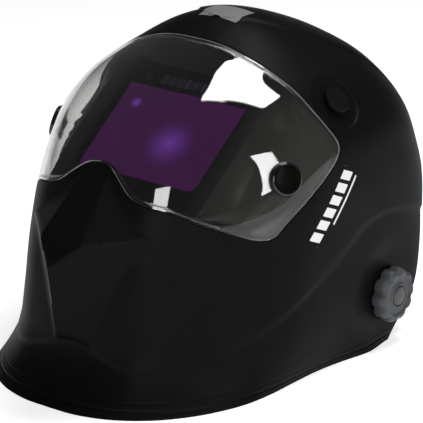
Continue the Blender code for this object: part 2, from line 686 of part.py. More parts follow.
def round_outline(centres, radii, steps=10):
    """The outline round two circles on one line, as a belt would run."""
    (x0, y0), (x1, y1) = centres
    r0, r1 = radii
    along = math.atan2(y1 - y0, x1 - x0)
    lean = math.acos((r0 - r1) / math.hypot(x1 - x0, y1 - y0))
    points = []
    for i in range(steps + 1):
        a = along + lean + (2 * math.pi - 2 * lean) * i / steps
        points.append((x0 + r0 * math.cos(a), y0 + r0 * math.sin(a)))
    for i in range(steps + 1):
        a = along - lean + 2 * lean * i / steps
        points.append((x1 + r1 * math.cos(a), y1 + r1 * math.sin(a)))
    return points


def scalloped(radius, lobes, depth, per_lobe=5):
    """A knob's outline: even lobes with a shallow hollow between each pair."""
    count = lobes * per_lobe
    points = []
    for i in range(count):
        a = 2 * math.pi * i / count
        reach = radius - depth * (0.5 - 0.5 * math.cos(lobes * a)) ** 2
        points.append((reach * math.cos(a), reach * math.sin(a)))
    return points


def knob_mesh(name, radius, lobes, depth, low, high, crown):
    """A scalloped knob whose outer edge is rounded over in two steps."""
    bm = bmesh.new()
    rings = []
    steps = ((low, 0.0008), (low + 0.0008, 0.0), (high - crown, 0.0), (high - crown * 0.35, crown * 0.35),
             (high, crown))
    for z, less in steps:
        share = (radius - less) / radius
        rings.append([bm.verts.new((x * share, y * share, z)) for x, y in scalloped(radius, lobes, depth)])
    for a, b in zip(rings, rings[1:]):
        for i in range(len(a)):
            j = (i + 1) % len(a)
            bm.faces.new((a[i], a[j], b[j], b[i]))
    bm.faces.new(rings[0])
    bm.faces.new(rings[-1])
    return from_bmesh(name, bm, 40.0)


# ---- pivots: what is stacked on each side wall, from the outside in ----------------------
KNOB_FOOT = 0.0006             # knob's inner face, off the flat seat
CAP_R = 0.0072
CAP_DEEP = 0.0015
WASHER_OUT = -WALL - 0.0006
WASHER_IN = WASHER_OUT - 0.0020
STOP_OUT = WASHER_IN - GAP
STOP_IN = STOP_OUT - 0.0024
ARM_OUT = STOP_IN - GAP
BLOCK_IN = BAND_HALF_W + STRAP / 2 + 0.0004    # distances from the middle plane: the band's block,
ARM_IN = BLOCK_IN + 0.0067                     # the arm's rail
ARM_FACE = ARM_IN + 0.0040
HEAD_IN = ARM_IN - 0.0030                      # and the bolt's head
SLIDE_BACK = 0.027             # the slot's middle, behind the band's middle
REACH_TRAVEL = 0.008
STUD_R = 0.0038


def side_name(side):
    return "left" if side > 0 else "right"


def pivot_stack(side):
    name = side_name(side)
    place = frame_at(Vector((side * PIVOT_X, PIVOT_Y, PIVOT_Z)), (side, 0, 0))
    knob = piece(name + "_tension_knob", knob_mesh("knob", KNOB_R, KNOB_LOBES, 0.0022, KNOB_FOOT,
                                                   KNOB_FOOT + KNOB_DEEP, 0.0026), KNOB_GREY, place)
    top = KNOB_FOOT + KNOB_DEEP
    cut_hole(knob, place, CAP_R + GAP, top - CAP_DEEP, top + 0.01, sides=32)
    cut_hole(knob, place, BOLT_R + GAP, -0.01, KNOB_FOOT + 0.0066, sides=20)
    piece(name + "_knob_cap", disc_mesh("cap", CAP_R, top - CAP_DEEP + GAP, top + GAP, 0.0003), CAP_GREY, place)
    washer = piece(name + "_friction_washer", disc_mesh("washer", 0.014, WASHER_IN, WASHER_OUT), PAD_CLOTH, place)
    cut_hole(washer, place, BOLT_R + GAP, -0.03, 0.01, sides=20)
    stop = piece(name + "_tilt_stop", outline_mesh("stop", round_outline(((0, 0), (-side * 0.012, 0.014)),
                                                                         (0.0135, 0.005)), STOP_IN, STOP_OUT),
                 FRAME_BLACK, place)
    cut_hole(stop, place, BOLT_R + GAP, -0.03, 0.01, sides=20)
    head_low, rail_low, rail_high = (x - PIVOT_X for x in (HEAD_IN, ARM_IN, ARM_FACE))
    slot_y = side * (BAND_Y + SLIDE_BACK - PIVOT_Y)
    slot_z = BAND_Z - PIVOT_Z
    arm = piece(name + "_side_arm", outline_mesh("arm", round_outline(
        ((0, 0), (slot_y + side * 0.006, slot_z)), (0.0145, 0.0105)), rail_low, rail_high), STRAP_BLACK, place)
    join(arm, piece("boss", disc_mesh("boss", 0.0125, rail_high - 0.001, ARM_OUT, sides=28), STRAP_BLACK, place))
    cut_hole(arm, place, BOLT_R + GAP, -0.05, 0.01, sides=20)
    half = REACH_TRAVEL + STUD_R + GAP
    slot = piece("cut_slot", outline_mesh("slot", round_outline(
        ((slot_y - half + STUD_R, slot_z), (slot_y + half - STUD_R, slot_z)), (STUD_R + GAP, STUD_R + GAP - 1e-6)),
        rail_low - 0.005, rail_high + 0.005), STEEL, place)
    boolean(arm, as_cutter(slot))
    bolt = piece(name + "_pivot_bolt", disc_mesh("bolt", 0.007, head_low, rail_low - GAP, 0.0006, 24), STEEL, place)
    join(bolt, piece("shank", disc_mesh("shank", BOLT_R, rail_low - 0.001, KNOB_FOOT + 0.0062, sides=20),
                     STEEL, place))
    cut_hole(SHELL, place, BOLT_R + 0.0005, -0.01, 0.01, sides=24)
    seat = piece("cut_seat", disc_mesh("seat", PIVOT_PAD - 0.002, 0.0, 0.01, sides=40), STEEL, place)
    boolean(SHELL, as_cutter(seat))
    slide = place @ Matrix.Translation((slot_y, slot_z, 0))
    block = piece(name + "_band_block", box_mesh("block", (-0.014, -0.009, BLOCK_IN - PIVOT_X),
                                                 (0.014, 0.009, rail_low - 2 * GAP), 0.0008), STRAP_BLACK, slide)
    join(block, piece("stud", disc_mesh("stud", STUD_R - GAP, rail_low - 0.0015, rail_high + 0.0036, sides=20),
                      STRAP_BLACK, slide))
    latch = piece(name + "_reach_lock", outline_mesh("latch", round_outline(((0, 0), (side * 0.010, 0.0)),
                                                                            (0.0075, 0.0035)),
                                                     rail_high + GAP, rail_high + 0.0030), KNOB_GREY, slide)
    cut_hole(latch, slide, STUD_R, -0.05, 0.01, sides=20)


# ---- headband, crown straps and ratchet --------------------------------------------------
END_X = 0.056                  # the headband's ends, either side of the ratchet
RACK_X = 0.034                 # the racks are straight inside the housing
RACK_TALL = 0.018
RACK_LAYER = 0.0009
RACK_TIP = 0.0135
HOUSE_X = 0.0325
HOUSE_Z = 0.0190
PLATE = 0.0025                 # the housing's walls


def rear_turn(x):
    """The turn at which the band's plan, behind its middle, is x to the side."""
    y = BAND_HALF_L * (1 - (x / BAND_HALF_W) ** 4) ** 0.25
    return math.pi - math.atan2(x, y)


REAR_Y = BAND_Y + BAND_HALF_L * (1 - (RACK_X / BAND_HALF_W) ** 4) ** 0.25
HOUSE_BACK = BAND_Y + BAND_HALF_L + RATCHET_DEEP
RATCHET_PLACE = frame_at(Vector((0, HOUSE_BACK, BAND_Z)), (0, 1, 0))


def headband():
    end = rear_turn(END_X)
    turns = [-end + 2 * end * i / 38 for i in range(39)]
    half = BAND_TALL / 2

    def tall(turn):
        return 1.0 - 0.30 * max(0.0, abs(turn) - 1.9) / (end - 1.9)
    band_strip("headband", turns, -half, half, 0.0, STRAP_BLACK, STRAP, tall)


def rack(side):
    """One end of the band: a strap with a toothed slot, straight inside the housing."""
    name = side_name(side) + "_rack_strap"
    start, stop = rear_turn(END_X - 4 * GAP), rear_turn(RACK_X)
    layer = RACK_LAYER * side
    bm = bmesh.new()
    rows = []
    points = []
    for i in range(5):
        p = band_point(start + (stop - start) * i / 4)
        points.append((p.x, p.y + layer))
    points += [(x, REAR_Y + layer) for x in (0.022, 0.006, -RACK_TIP)]
    for x, y in points:
        rows.append([bm.verts.new((side * x, y, BAND_Z + z)) for z in (-RACK_TALL / 2, RACK_TALL / 2)])
    for a, b in zip(rows, rows[1:]):
        bm.faces.new((a[0], b[0], b[1], a[1]))
    face_outwards(bm, Vector((0, BAND_Y, BAND_Z)))
    mesh = bpy.data.meshes.new(name)
    bm.to_mesh(mesh)
    bm.free()
    strap = piece(name, mesh, STRAP_BLACK)
    wall = strap.modifiers.new("wall", "SOLIDIFY")
    wall.thickness = STRAP
    wall.offset = 0.0
    room = PINION_R + 0.0006
    near, far = -room, room + RACK_TRAVEL
    xs = sorted((side * near, side * far))
    slot = piece("cut_rack", box_mesh("slot", (xs[0], REAR_Y - 0.01, BAND_Z - room),
                                      (xs[1], REAR_Y + 0.01, BAND_Z + room)), STEEL)
    boolean(strap, as_cutter(slot))


def ratchet():
    """Housing, its shaft with the pinion, the knob behind and the pad in front."""
    low = BAND_Y + BAND_HALF_L - 0.0055
    house = piece("ratchet_housing", box_mesh("house", (-HOUSE_X, low, BAND_Z - HOUSE_Z),
                                              (HOUSE_X, HOUSE_BACK, BAND_Z + HOUSE_Z), 0.0016), STRAP_BLACK)
    hollow = REAR_Y + RACK_LAYER + STRAP / 2 + 2 * GAP
    boolean(house, as_cutter(piece("cut_house", box_mesh("cut", (-HOUSE_X + PLATE, low - 0.01, BAND_Z - HOUSE_Z + PLATE),
                                                         (HOUSE_X - PLATE, hollow, BAND_Z + HOUSE_Z - PLATE)), STEEL)))
    boolean(house, as_cutter(piece("cut_ways", box_mesh("ways", (-0.06, low - 0.01, BAND_Z - RACK_TALL / 2 - 0.001),
                                                        (0.06, hollow, BAND_Z + RACK_TALL / 2 + 0.001)), STEEL)))
    cut_hole(house, RATCHET_PLACE, BOLT_R + GAP, -0.03, 0.01, sides=20)
    thick = HOUSE_BACK - hollow
    pinion = piece("pinion", disc_mesh("pinion", PINION_R, -thick - 0.0048, -thick - 2 * GAP, 0.0004, 16),
                   GLOSS_BLACK, RATCHET_PLACE)
    join(pinion, piece("shaft", disc_mesh("shaft", BOLT_R, -thick - 0.0020, 0.0080, sides=16), GLOSS_BLACK,
                       RATCHET_PLACE))
    knob = piece("ratchet_knob", knob_mesh("ratchet_knob", RATCHET_R, 12, 0.0020, 2 * GAP,
                                           RATCHET_KNOB_DEEP + 2 * GAP, 0.0030), KNOB_GREY, RATCHET_PLACE)
    cut_hole(knob, RATCHET_PLACE, BOLT_R + GAP, -0.01, 0.0084, sides=16)
    pad = piece("rear_pad", box_mesh("rear_pad", (-0.036, low - GAP - 0.0075, BAND_Z - 0.021),
                                     (0.036, low - GAP, BAND_Z + 0.021), 0.0025), PAD_CLOTH)
    return pad


def crown_point(share, over):
    """The crown strap's path, from the side of the band (0) over the head to the other side (1)."""
    half = BAND_HALF_W + STRAP + GAP
    foot, knee, straight = -0.013, 0.012, 0.12
    if share < straight:
        return half, foot + (knee - foot) * share / straight
    a = math.pi * (share - straight) / (1 - 2 * straight)
    lift = over * float(smooth_step(a, 0.5, 1.0))
    return (half + lift) * math.cos(a), knee + (CROWN_RISE - knee + lift) * math.sin(a)


CROWN_STRAP_Y = BAND_Y - 0.004
CROWN_LAP = 0.60               # how far round each strap reaches
CROWN_OVER = STRAP + 2 * GAP   # the right strap runs over the left one
CROWN_TOP = frame_at(Vector((0, CROWN_STRAP_Y, BAND_Z + CROWN_RISE)), (0, 0, 1), Vector((0, 1, 0)))
PIN_R = 0.0020


def crown_strap(side):
    name = side_name(side) + "_crown_strap"
    over = 0.0 if side > 0 else CROWN_OVER
    steps = 17
    bm = bmesh.new()
    rows = []
    for i in range(steps):
        x, z = crown_point(CROWN_LAP * i / (steps - 1), over)
        wide = 0.011 - 0.002 * max(0.0, z) / CROWN_RISE
        rows.append([bm.verts.new((side * x, CROWN_STRAP_Y + w, BAND_Z + z)) for w in (-wide, wide)])
    for a, b in zip(rows, rows[1:]):
        bm.faces.new((a[0], b[0], b[1], a[1]))
    face_outwards(bm, Vector((0, BAND_Y, BAND_Z)))
    mesh = bpy.data.meshes.new(name)
    bm.to_mesh(mesh)
    bm.free()
    mesh.shade_smooth()
    strap = piece(name, mesh, STRAP_BLACK)
    wall = strap.modifiers.new("wall", "SOLIDIFY")
    wall.thickness = STRAP
    wall.offset = 0.0
    cut_hole(strap, CROWN_TOP, PIN_R + GAP, -0.01, 0.01, sides=16)


def crown_pin():
    over = CROWN_OVER + STRAP / 2 + GAP
    pin = piece("crown_pin", disc_mesh("pin", 0.0050, over, over + 0.0018, 0.0005, 24), KNOB_GREY, CROWN_TOP)
    join(pin, piece("peg", disc_mesh("peg", PIN_R, -0.0030, over + 0.0008, sides=14), KNOB_GREY, CROWN_TOP))


def brow_pad():
    """The sweatband inside the front of the headband."""
    reach = math.radians(72)
    turns = [-reach + 2 * reach * i / 20 for i in range(21)]
    thick = 0.0055
    pad = band_strip("brow_pad", turns, -0.0165, 0.0165, -(STRAP / 2 + 3 * GAP + thick / 2), PAD_CLOTH, thick)
    return pad


def switch_lead(place):
    """The lead from the grind switch's foot to the top of the filter case, made whole."""
    depth = (CASE_FRONT + CASE_BACK) / 2
    points = [place @ Vector((0, 0, SWITCH_LOW - GAP)), place @ Vector((0, 0, SWITCH_LOW - 0.0040)),
              place @ Vector((-0.0010, 0, SWITCH_LOW - 0.0070)),
              on_filter(LEAD_SIDE + 0.0050, CASE_HIGH + 0.0150, depth - 0.0100),
              on_filter(LEAD_SIDE + 0.0010, CASE_HIGH + 0.0110, depth - 0.0015),
              on_filter(LEAD_SIDE, CASE_HIGH + 0.0070, depth), on_filter(LEAD_SIDE, CASE_HIGH + GAP, depth)]
    curve = bpy.data.curves.new("switch_lead", "CURVE")
    curve.dimensions = "3D"
    curve.bevel_depth = LEAD_R
    curve.bevel_resolution = 2
    curve.use_fill_caps = True
    route = curve.splines.new("POLY")
    route.points.add(len(points) - 1)
    for spot, p in zip(route.points, points):
        spot.co = (*p, 1.0)
    shape = bpy.data.objects.new("lead_route", curve)
    mesh = bpy.data.meshes.new_from_object(shape)
    bm = bmesh.new()
    bm.from_mesh(mesh)
    bmesh.ops.remove_doubles(bm, verts=bm.verts, dist=0.00001)
    piece("switch_lead", from_bmesh("switch_lead", bm), LEAD_BLACK)


# ---- the whole helmet --------------------------------------------------------------------
SHELL = helmet_shell()
VISOR = outer_visor()
lens_frame()
filter_pieces()
for hand in (1, -1):
    LOCK, LOCK_PLACE = visor_lock(side_name(hand) + "_visor_lock", hand)
    cut_hole(VISOR, LOCK_PLACE, 0.0043, -0.02, 0.01, sides=24)
    pivot_stack(hand)
    rack(hand)
    crown_strap(hand)
BUTTON_PLACE = surface_place(*BUTTON_AT)
grind_button(BUTTON_PLACE)
cut_hole(SHELL, BUTTON_PLACE, 0.0036, -0.01, 0.01)
cut_hole(SHELL, BUTTON_PLACE, DISH_R, -BUTTON_SEAT, 0.01, sides=48)
SWITCH = piece("grind_switch", disc_mesh("grind_switch", 0.0070, SWITCH_LOW, -WALL - 0.0012, 0.0006, 24),
               FRAME_BLACK, BUTTON_PLACE)
cut_hole(SWITCH, BUTTON_PLACE, 0.0034, -0.0110, 0.01, sides=16)
switch_lead(BUTTON_PLACE)
headband()
ratchet()
crown_pin()
brow_pad()
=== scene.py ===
"""A black welding helmet with a wide clear visor, standing on its rim, with its headgear inside."""

import json
import math

import bmesh
import bpy
import numpy as np
from mathutils import Matrix, Vector
from mathutils.bvhtree import BVHTree

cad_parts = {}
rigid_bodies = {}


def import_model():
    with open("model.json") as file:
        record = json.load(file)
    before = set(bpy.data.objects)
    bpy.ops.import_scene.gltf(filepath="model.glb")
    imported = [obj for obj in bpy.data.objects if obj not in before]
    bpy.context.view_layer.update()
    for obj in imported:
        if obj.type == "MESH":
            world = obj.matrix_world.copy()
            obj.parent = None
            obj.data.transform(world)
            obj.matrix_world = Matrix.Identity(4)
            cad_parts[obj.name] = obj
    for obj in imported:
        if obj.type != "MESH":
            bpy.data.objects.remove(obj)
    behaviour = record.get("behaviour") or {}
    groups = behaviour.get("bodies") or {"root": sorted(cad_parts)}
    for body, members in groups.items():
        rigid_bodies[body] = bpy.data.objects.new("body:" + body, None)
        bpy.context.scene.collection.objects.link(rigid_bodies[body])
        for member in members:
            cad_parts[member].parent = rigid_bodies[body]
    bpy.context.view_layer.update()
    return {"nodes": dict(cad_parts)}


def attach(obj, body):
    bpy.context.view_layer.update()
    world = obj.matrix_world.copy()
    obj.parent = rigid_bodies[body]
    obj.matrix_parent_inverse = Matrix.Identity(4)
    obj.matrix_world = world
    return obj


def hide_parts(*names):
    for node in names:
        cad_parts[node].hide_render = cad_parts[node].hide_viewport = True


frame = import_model()


# ---- how finishes are wired --------------------------------------------------------------
class Wire:
    """A value in a finish: numbers and other values can be added to it, multiplied or compared."""

    def __init__(self, tree, socket):
        self.tree = tree
        self.socket = socket

    def math(self, operation, *others, clamp=False):
        node = self.tree.nodes.new("ShaderNodeMath")
        node.operation = operation
        node.use_clamp = clamp
        for slot, value in zip(node.inputs, (self, *others)):
            if isinstance(value, Wire):
                self.tree.links.new(value.socket, slot)
            else:
                slot.default_value = value
        return Wire(self.tree, node.outputs[0])

    def __add__(self, other):
        return self.math("ADD", other)

    def __sub__(self, other):
        return self.math("SUBTRACT", other)

    def __mul__(self, other):
        return self.math("MULTIPLY", other)

    def __truediv__(self, other):
        return self.math("DIVIDE", other)

    def __pow__(self, other):
        return self.math("POWER", other)

    def over(self, low, high):
        """0 below low, 1 above high, even between."""
        return ((self - low) / (high - low)).math("MULTIPLY", 1.0, clamp=True)

    def near(self, centre, width):
        """1 at the centre, falling evenly to 0 a width away."""
        return ((self - centre).math("ABSOLUTE") / -width + 1.0).math("MULTIPLY", 1.0, clamp=True)


class Finish:
    """A Principled material being put together from procedural nodes."""

    def __init__(self, name, **fixed):
        self.material = bpy.data.materials.new(name)
        self.material.use_nodes = True
        self.tree = self.material.node_tree
        self.body = self.tree.nodes["Principled BSDF"]
        for key, value in fixed.items():
            self.body.inputs[key.replace("_", " ")].default_value = value
        self.place = self.node("ShaderNodeTexCoord", "Object")

    def node(self, kind, output=0, **values):
        """A node; capitalised values go to its inputs, the others are its settings."""
        node = self.tree.nodes.new(kind)
        for key, value in values.items():
            if key[0].islower():
                setattr(node, key, value)
        for key, value in values.items():
            if key[0].isupper():
                self.feed(node.inputs[key.replace("_", " ")], value)
        return Wire(self.tree, node.outputs[output])

    def feed(self, slot, value):
        if isinstance(value, Wire):
            self.tree.links.new(value.socket, slot)
        else:
            slot.default_value = value

    def noise(self, scale, detail=2.0, rough=0.5, at=None):
        return self.node("ShaderNodeTexNoise", "Fac", Vector=at or self.place, Scale=scale, Detail=detail,
                         Roughness=rough)

    def axis(self, name):
        return self.node("ShaderNodeSeparateXYZ", name, Vector=self.place)

    def stored(self, name):
        return self.node("ShaderNodeAttribute", "Fac", attribute_name=name)

    def mix(self, factor, a, b):
        node = self.tree.nodes.new("ShaderNodeMix")
        node.data_type = "RGBA"
        for slot, value in ((0, factor), (6, a), (7, b)):
            if isinstance(value, tuple):
                value = (*value, 1.0)
            self.feed(node.inputs[slot], value)
        return Wire(self.tree, node.outputs[2])

    def bump(self, height, distance, strength=1.0, onto=None):
        values = {"Height": height, "Distance": distance, "Strength": strength}
        if onto:
            values["Normal"] = onto
        return self.node("ShaderNodeBump", **values)

    def given(self, name):
        """What an input of the shader is fed with so far."""
        return Wire(self.tree, self.body.inputs[name].links[0].from_socket)

    def put(self, **values):
        for key, value in values.items():
            if isinstance(value, tuple):
                value = (*value, 1.0)
            self.feed(self.body.inputs[key.replace("_", " ")], value)
        return self.material


def moulded(name, colour, rough, grain=0.00002, tint=(0.3, 0.27, 0.24)):
    """Moulded plastic: fine spark-eroded grain, patchy sheen, faint dust and rub marks."""
    paint = Finish(name)
    patches = paint.noise(38.0, 4.0, 0.55)
    rubbed = paint.noise(210.0, 5.0, 0.65).over(0.56, 0.74)
    grains = paint.noise(2600.0, 2.0, 0.6)
    cells = paint.node("ShaderNodeTexVoronoi", "Distance", Vector=paint.place, Scale=1500.0)
    dusty = tuple(0.93 * c + 0.07 * t * 0.25 for c, t in zip(colour, tint))
    base = paint.mix(patches.over(0.35, 0.7), colour, tuple(c * 0.78 for c in colour))
    base = paint.mix(rubbed * 0.35, base, dusty)
    sheen = patches * 0.10 + grains * 0.05 - rubbed * 0.05 + (rough - 0.075)
    relief = paint.bump(grains * 0.6 + cells * 0.4, grain, 0.8)
    paint.put(Base_Color=base, Roughness=sheen, Normal=relief)
    return paint


# ---- the shell ---------------------------------------------------------------------------
# A nylon shell, moulded in one piece: a round dome, a faceted nose and chin, and a skirt that
# flares to a thin lip. A crease runs round above the skirt, the side walls are hollowed round
# the tension knobs, and a shallow dish holds the grind button.
CROWN_Y = 0.0097
# at each level: height, reach ahead, half width, reach behind, squareness ahead and behind, and
# how far out the flat on each front corner stands
LEVELS = np.array([
    (0.2275, 0.000, 0.000, 0.000, 2.0, 2.0, 0.180),
    (0.2250, 0.016, 0.022, 0.020, 2.0, 2.0, 0.160),
    (0.2170, 0.034, 0.043, 0.045, 2.0, 2.0, 0.140),
    (0.2045, 0.067, 0.063, 0.072, 2.0, 2.3, 0.120),
    (0.1870, 0.101, 0.085, 0.094, 2.2, 2.8, 0.1044),
    (0.1600, 0.133, 0.105, 0.108, 2.5, 3.4, 0.1144),
    (0.1300, 0.148, 0.111, 0.114, 2.5, 4.0, 0.1244),
    (0.0950, 0.159, 0.112, 0.121, 2.5, 4.5, 0.1304),
    (0.0600, 0.164, 0.112, 0.121, 2.6, 5.0, 0.1339),
    (0.0300, 0.166, 0.111, 0.119, 2.8, 5.0, 0.1374),
    (-0.002, 0.166, 0.109, 0.117, 3.0, 5.0, 0.1424)])
CHAMFER = (0.82, -0.572)       # which way that flat faces, in plan
# the rim seen from above, from the middle of the front, about the crown axis
RIM = np.array([
    (0.000, -0.193), (0.022, -0.192), (0.045, -0.185), (0.065, -0.172), (0.080, -0.156),
    (0.092, -0.136), (0.101, -0.111), (0.104, -0.086), (0.104, -0.059), (0.1045, -0.034),
    (0.1075, -0.011), (0.112, 0.011), (0.1125, 0.024), (0.110, 0.039), (0.106, 0.057),
    (0.095, 0.092)])
# the open back seen from the side: how far behind the crown axis it runs at each height
BACK_EDGE = np.array([
    (0.043, 0.000), (0.053, 0.010), (0.069, 0.024), (0.078, 0.042), (0.082, 0.065),
    (0.086, 0.090), (0.092, 0.112), (0.100, 0.132), (0.110, 0.150), (0.125, 0.165)])
FLARE_TALL = 0.042             # the rim flares out below this height
# faces of the nose: outward normal and a point on each, about the crown axis
NOSE = [
    ((0.0, -0.710, 0.704), (0.0, -0.136, 0.154)),
    ((0.496, -0.567, 0.657), (0.0065, -0.1375, 0.1545)),
    ((-0.496, -0.567, 0.657), (-0.0065, -0.1375, 0.1545)),
    ((0.703, -0.700, -0.125), (0.0, -0.190, 0.086)),
    ((-0.703, -0.700, -0.125), (0.0, -0.190, 0.086)),
    ((0.0, -0.350, 0.937), (0.0, -0.136, 0.156)),
    ((0.707, 0.0, 0.707), (0.005, -0.136, 0.1575)),
    ((-0.707, 0.0, 0.707), (-0.005, -0.136, 0.1575)),
    ((0.95, -0.30, 0.0), (0.052, -0.148, 0.100)),
    ((-0.95, -0.30, 0.0), (-0.052, -0.148, 0.100)),
    ((0.0, -0.60, -0.80), (0.0, -0.181, 0.050))]
# outline of the visor on the wearer's left half, from the nose round to the brow
VISOR_LINE = np.array([
    (0.000, -0.1354, 0.1560), (0.010, -0.137, 0.1540), (0.020, -0.139, 0.1465),
    (0.030, -0.140, 0.1385), (0.042, -0.139, 0.1345), (0.057, -0.136, 0.1310),
    (0.070, -0.119, 0.1220), (0.083, -0.102, 0.1140), (0.094, -0.087, 0.1072),
    (0.1015, -0.077, 0.1075), (0.107, -0.069, 0.1150), (0.109, -0.050, 0.1280),
    (0.110, -0.031, 0.1400), (0.109, -0.018, 0.1490), (0.106, -0.013, 0.1570),
    (0.100, -0.017, 0.1690), (0.090, -0.021, 0.1800), (0.075, -0.024, 0.1920),
    (0.060, -0.027, 0.2015), (0.045, -0.030, 0.2090), (0.024, -0.031, 0.2150),
    (0.000, -0.032, 0.2170)])
EYE = Vector((0.0, CROWN_Y - 0.020, 0.125))   # the visor's outline is a cone about it
VISOR_WAY = Vector((0.0, -0.72, 0.69))         # from there to the visor's middle

PIVOT_X, PIVOT_Y, PIVOT_Z = 0.1097, 0.0497, 0.036
# the crease above the skirt: height at each turn from the front, in degrees and metres
SKIRT = np.array([(0, 0.042), (6, 0.035), (14, 0.028), (21, 0.0255), (30, 0.028), (40, 0.037), (52, 0.048),
                  (68, 0.067), (84, 0.083), (96, 0.095), (107, 0.098), (116, 0.095), (126, 0.088),
                  (150, 0.070), (180, 0.060)])
# half width of the dome's raised panel, at each distance behind the crown axis
PANEL = np.array([(-0.012, 0.000), (-0.006, 0.015), (0.004, 0.026), (0.015, 0.036), (0.029, 0.045),
                  (0.046, 0.053), (0.062, 0.063), (0.075, 0.072), (0.090, 0.090), (0.120, 0.130)])
SHELL_WALL = 0.0025
SCOOP_Z, SCOOP_R, SCOOP_DEEP = 0.090, 0.0175, 0.0010   # the round scoop in the nose
CREASE_STEP = 0.0016
PANEL_STEP = 0.0014


def spline(t, rows):
    """Catmull-Rom curve through the rows, at t from 0 to len(rows) - 1."""
    i = np.clip(np.floor(t).astype(int), 0, len(rows) - 2)
    f = (t - i)[..., None]
    run = np.vstack([2 * rows[0] - rows[1], rows, 2 * rows[-1] - rows[-2]])
    a, b, c, d = run[i], run[i + 1], run[i + 2], run[i + 3]
    return 0.5 * (2 * b + (c - a) * f + (2 * a - 5 * b + 4 * c - d) * f ** 2
                  + (3 * b - a - 3 * c + d) * f ** 3)


def smooth_max(a, b, blend):
    h = np.clip(0.5 + 0.5 * (a - b) / blend, 0, 1)
    return b * (1 - h) + a * h + blend * h * (1 - h)


def smooth_min(a, b, blend):
    return -smooth_max(-a, -b, blend)


def smooth_step(x, low, high):
    t = np.clip((x - low) / (high - low), 0, 1)
    return t * t * (3 - 2 * t)


def plan_radius(sx, sy, level):
    """Distance from the crown axis to the plan outline of a level, in the direction (sx, sy)."""
    z, ahead, half, behind, full_a, full_b, chamfer = np.moveaxis(level, -1, 0)
    reach = np.maximum(np.where(sy <= 0, ahead, behind), 1e-6)
    half = np.maximum(half, 1e-6)
    full = np.where(sy <= 0, full_a, full_b)
    radius = ((np.abs(sx) / half) ** full + (np.abs(sy) / reach) ** full) ** (-1 / full)
    facing = CHAMFER[0] * np.abs(sx) + CHAMFER[1] * sy
    flat = np.where(facing > 0.1, chamfer / np.maximum(facing, 0.1), 2.0)
    return smooth_min(radius, flat, 0.014)


RIM_RUN = spline(np.linspace(0, len(RIM) - 1, 300), RIM)
RIM_TURN = np.arctan2(RIM_RUN[:, 0], -RIM_RUN[:, 1])
RIM_REACH = np.hypot(RIM_RUN[:, 0], RIM_RUN[:, 1])


def shell_point(turn, t):
    """Outer surface at a turn about the crown axis (0 ahead, pi behind) and a level t."""
    turn, t = np.broadcast_arrays(turn, t)
    sx, sy = np.sin(turn), -np.cos(turn)
    level = spline(np.maximum(t, 1), LEVELS)
    cap = np.clip(t, 0, 1)
    radius = plan_radius(sx, sy, level) * cap
    z = np.where(t < 1, LEVELS[0, 0] - (LEVELS[0, 0] - LEVELS[1, 0]) * cap ** 2, level[..., 0])
    nose = None
    for normal, point in NOSE:
        facing = normal[0] * sx + normal[1] * sy
        room = np.dot(normal, point) - normal[2] * z
        reach = np.clip(np.where(facing > 0.01, room / np.maximum(facing, 0.01), 0.4), 0, 0.4)
        nose = reach if nose is None else smooth_min(nose, reach, 0.0012)
    radius = np.where(sy < -0.4, smooth_max(radius, nose, 0.002), radius)
    scoop = np.hypot(radius * sx / SCOOP_R, (z - SCOOP_Z) / SCOOP_R)
    radius = np.where(sy < -0.4, radius - SCOOP_DEEP * smooth_step(scoop, 1.05, 0.97), radius)
    at_foot = plan_radius(sx, sy, np.broadcast_to(LEVELS[-1], radius.shape + (7,)))
    rim = np.interp(np.arctan2(np.abs(sx), -sy), RIM_TURN, RIM_REACH)
    radius = radius + (rim - at_foot) * np.clip(1 - z / FLARE_TALL, 0, 1) ** 2.2
    crease = np.interp(np.degrees(np.arctan2(np.abs(sx), -sy)), SKIRT[:, 0], SKIRT[:, 1])
    below = crease - z
    fading = np.exp(-np.maximum(below, 0) / 0.026)
    radius = radius - CREASE_STEP * smooth_step(below, -0.0010, 0.0022) * fading
    x, y = radius * sx, radius * sy
    edge = np.interp(y, PANEL[:, 0], PANEL[:, 1], left=-0.01) - np.abs(x)
    z = z + PANEL_STEP * smooth_step(edge, -0.0012, 0.0014) * smooth_step(z, 0.150, 0.175)
    seat = np.hypot(y - (PIVOT_Y - CROWN_Y), z - PIVOT_Z)
    hollow = smooth_step(seat, 0.024, 0.044)
    flattened = np.sign(x) * (PIVOT_X + (np.abs(x) - PIVOT_X) * hollow)
    side = np.where((z < 0.1) & (np.abs(x) > 0.09), flattened, x)
    return np.stack([side, CROWN_Y + y, z], -1)


def plate(rows, closed=False):
    """An open mesh through rows of points, as many in each; closed joins each row's ends."""
    bm = bmesh.new()
    verts = [[bm.verts.new(p) for p in row] for row in rows]
    for a, b in zip(verts, verts[1:]):
        for i in range(len(a) if closed else len(a) - 1):
            j = (i + 1) % len(a)
            bm.faces.new((a[i], a[j], b[j], b[i]))
    return bm


def finish_mesh(name, bm, inside=None, angle=None):
    """A smooth-shaded object from a bmesh, its faces pointing outwards."""
    bmesh.ops.recalc_face_normals(bm, faces=bm.faces)
    bm.normal_update()
    if inside is not None and sum(f.normal.dot(f.calc_center_median() - inside) for f in bm.faces) < 0:
        bmesh.ops.reverse_faces(bm, faces=bm.faces)
    mesh = bpy.data.meshes.new(name)
    bm.to_mesh(mesh)
    bm.free()
    mesh.shade_smooth()
    if angle:
        mesh.set_sharp_from_angle(angle=math.radians(angle))
    obj = bpy.data.objects.new(name, mesh)
    bpy.context.scene.collection.objects.link(obj)
    return obj


def bake(obj):
    """Apply every modifier, leaving a plain mesh."""
    graph = bpy.context.evaluated_depsgraph_get()
    mesh = bpy.data.meshes.new_from_object(obj.evaluated_get(graph))
    obj.modifiers.clear()
    obj.data = mesh
    mesh.name = obj.name


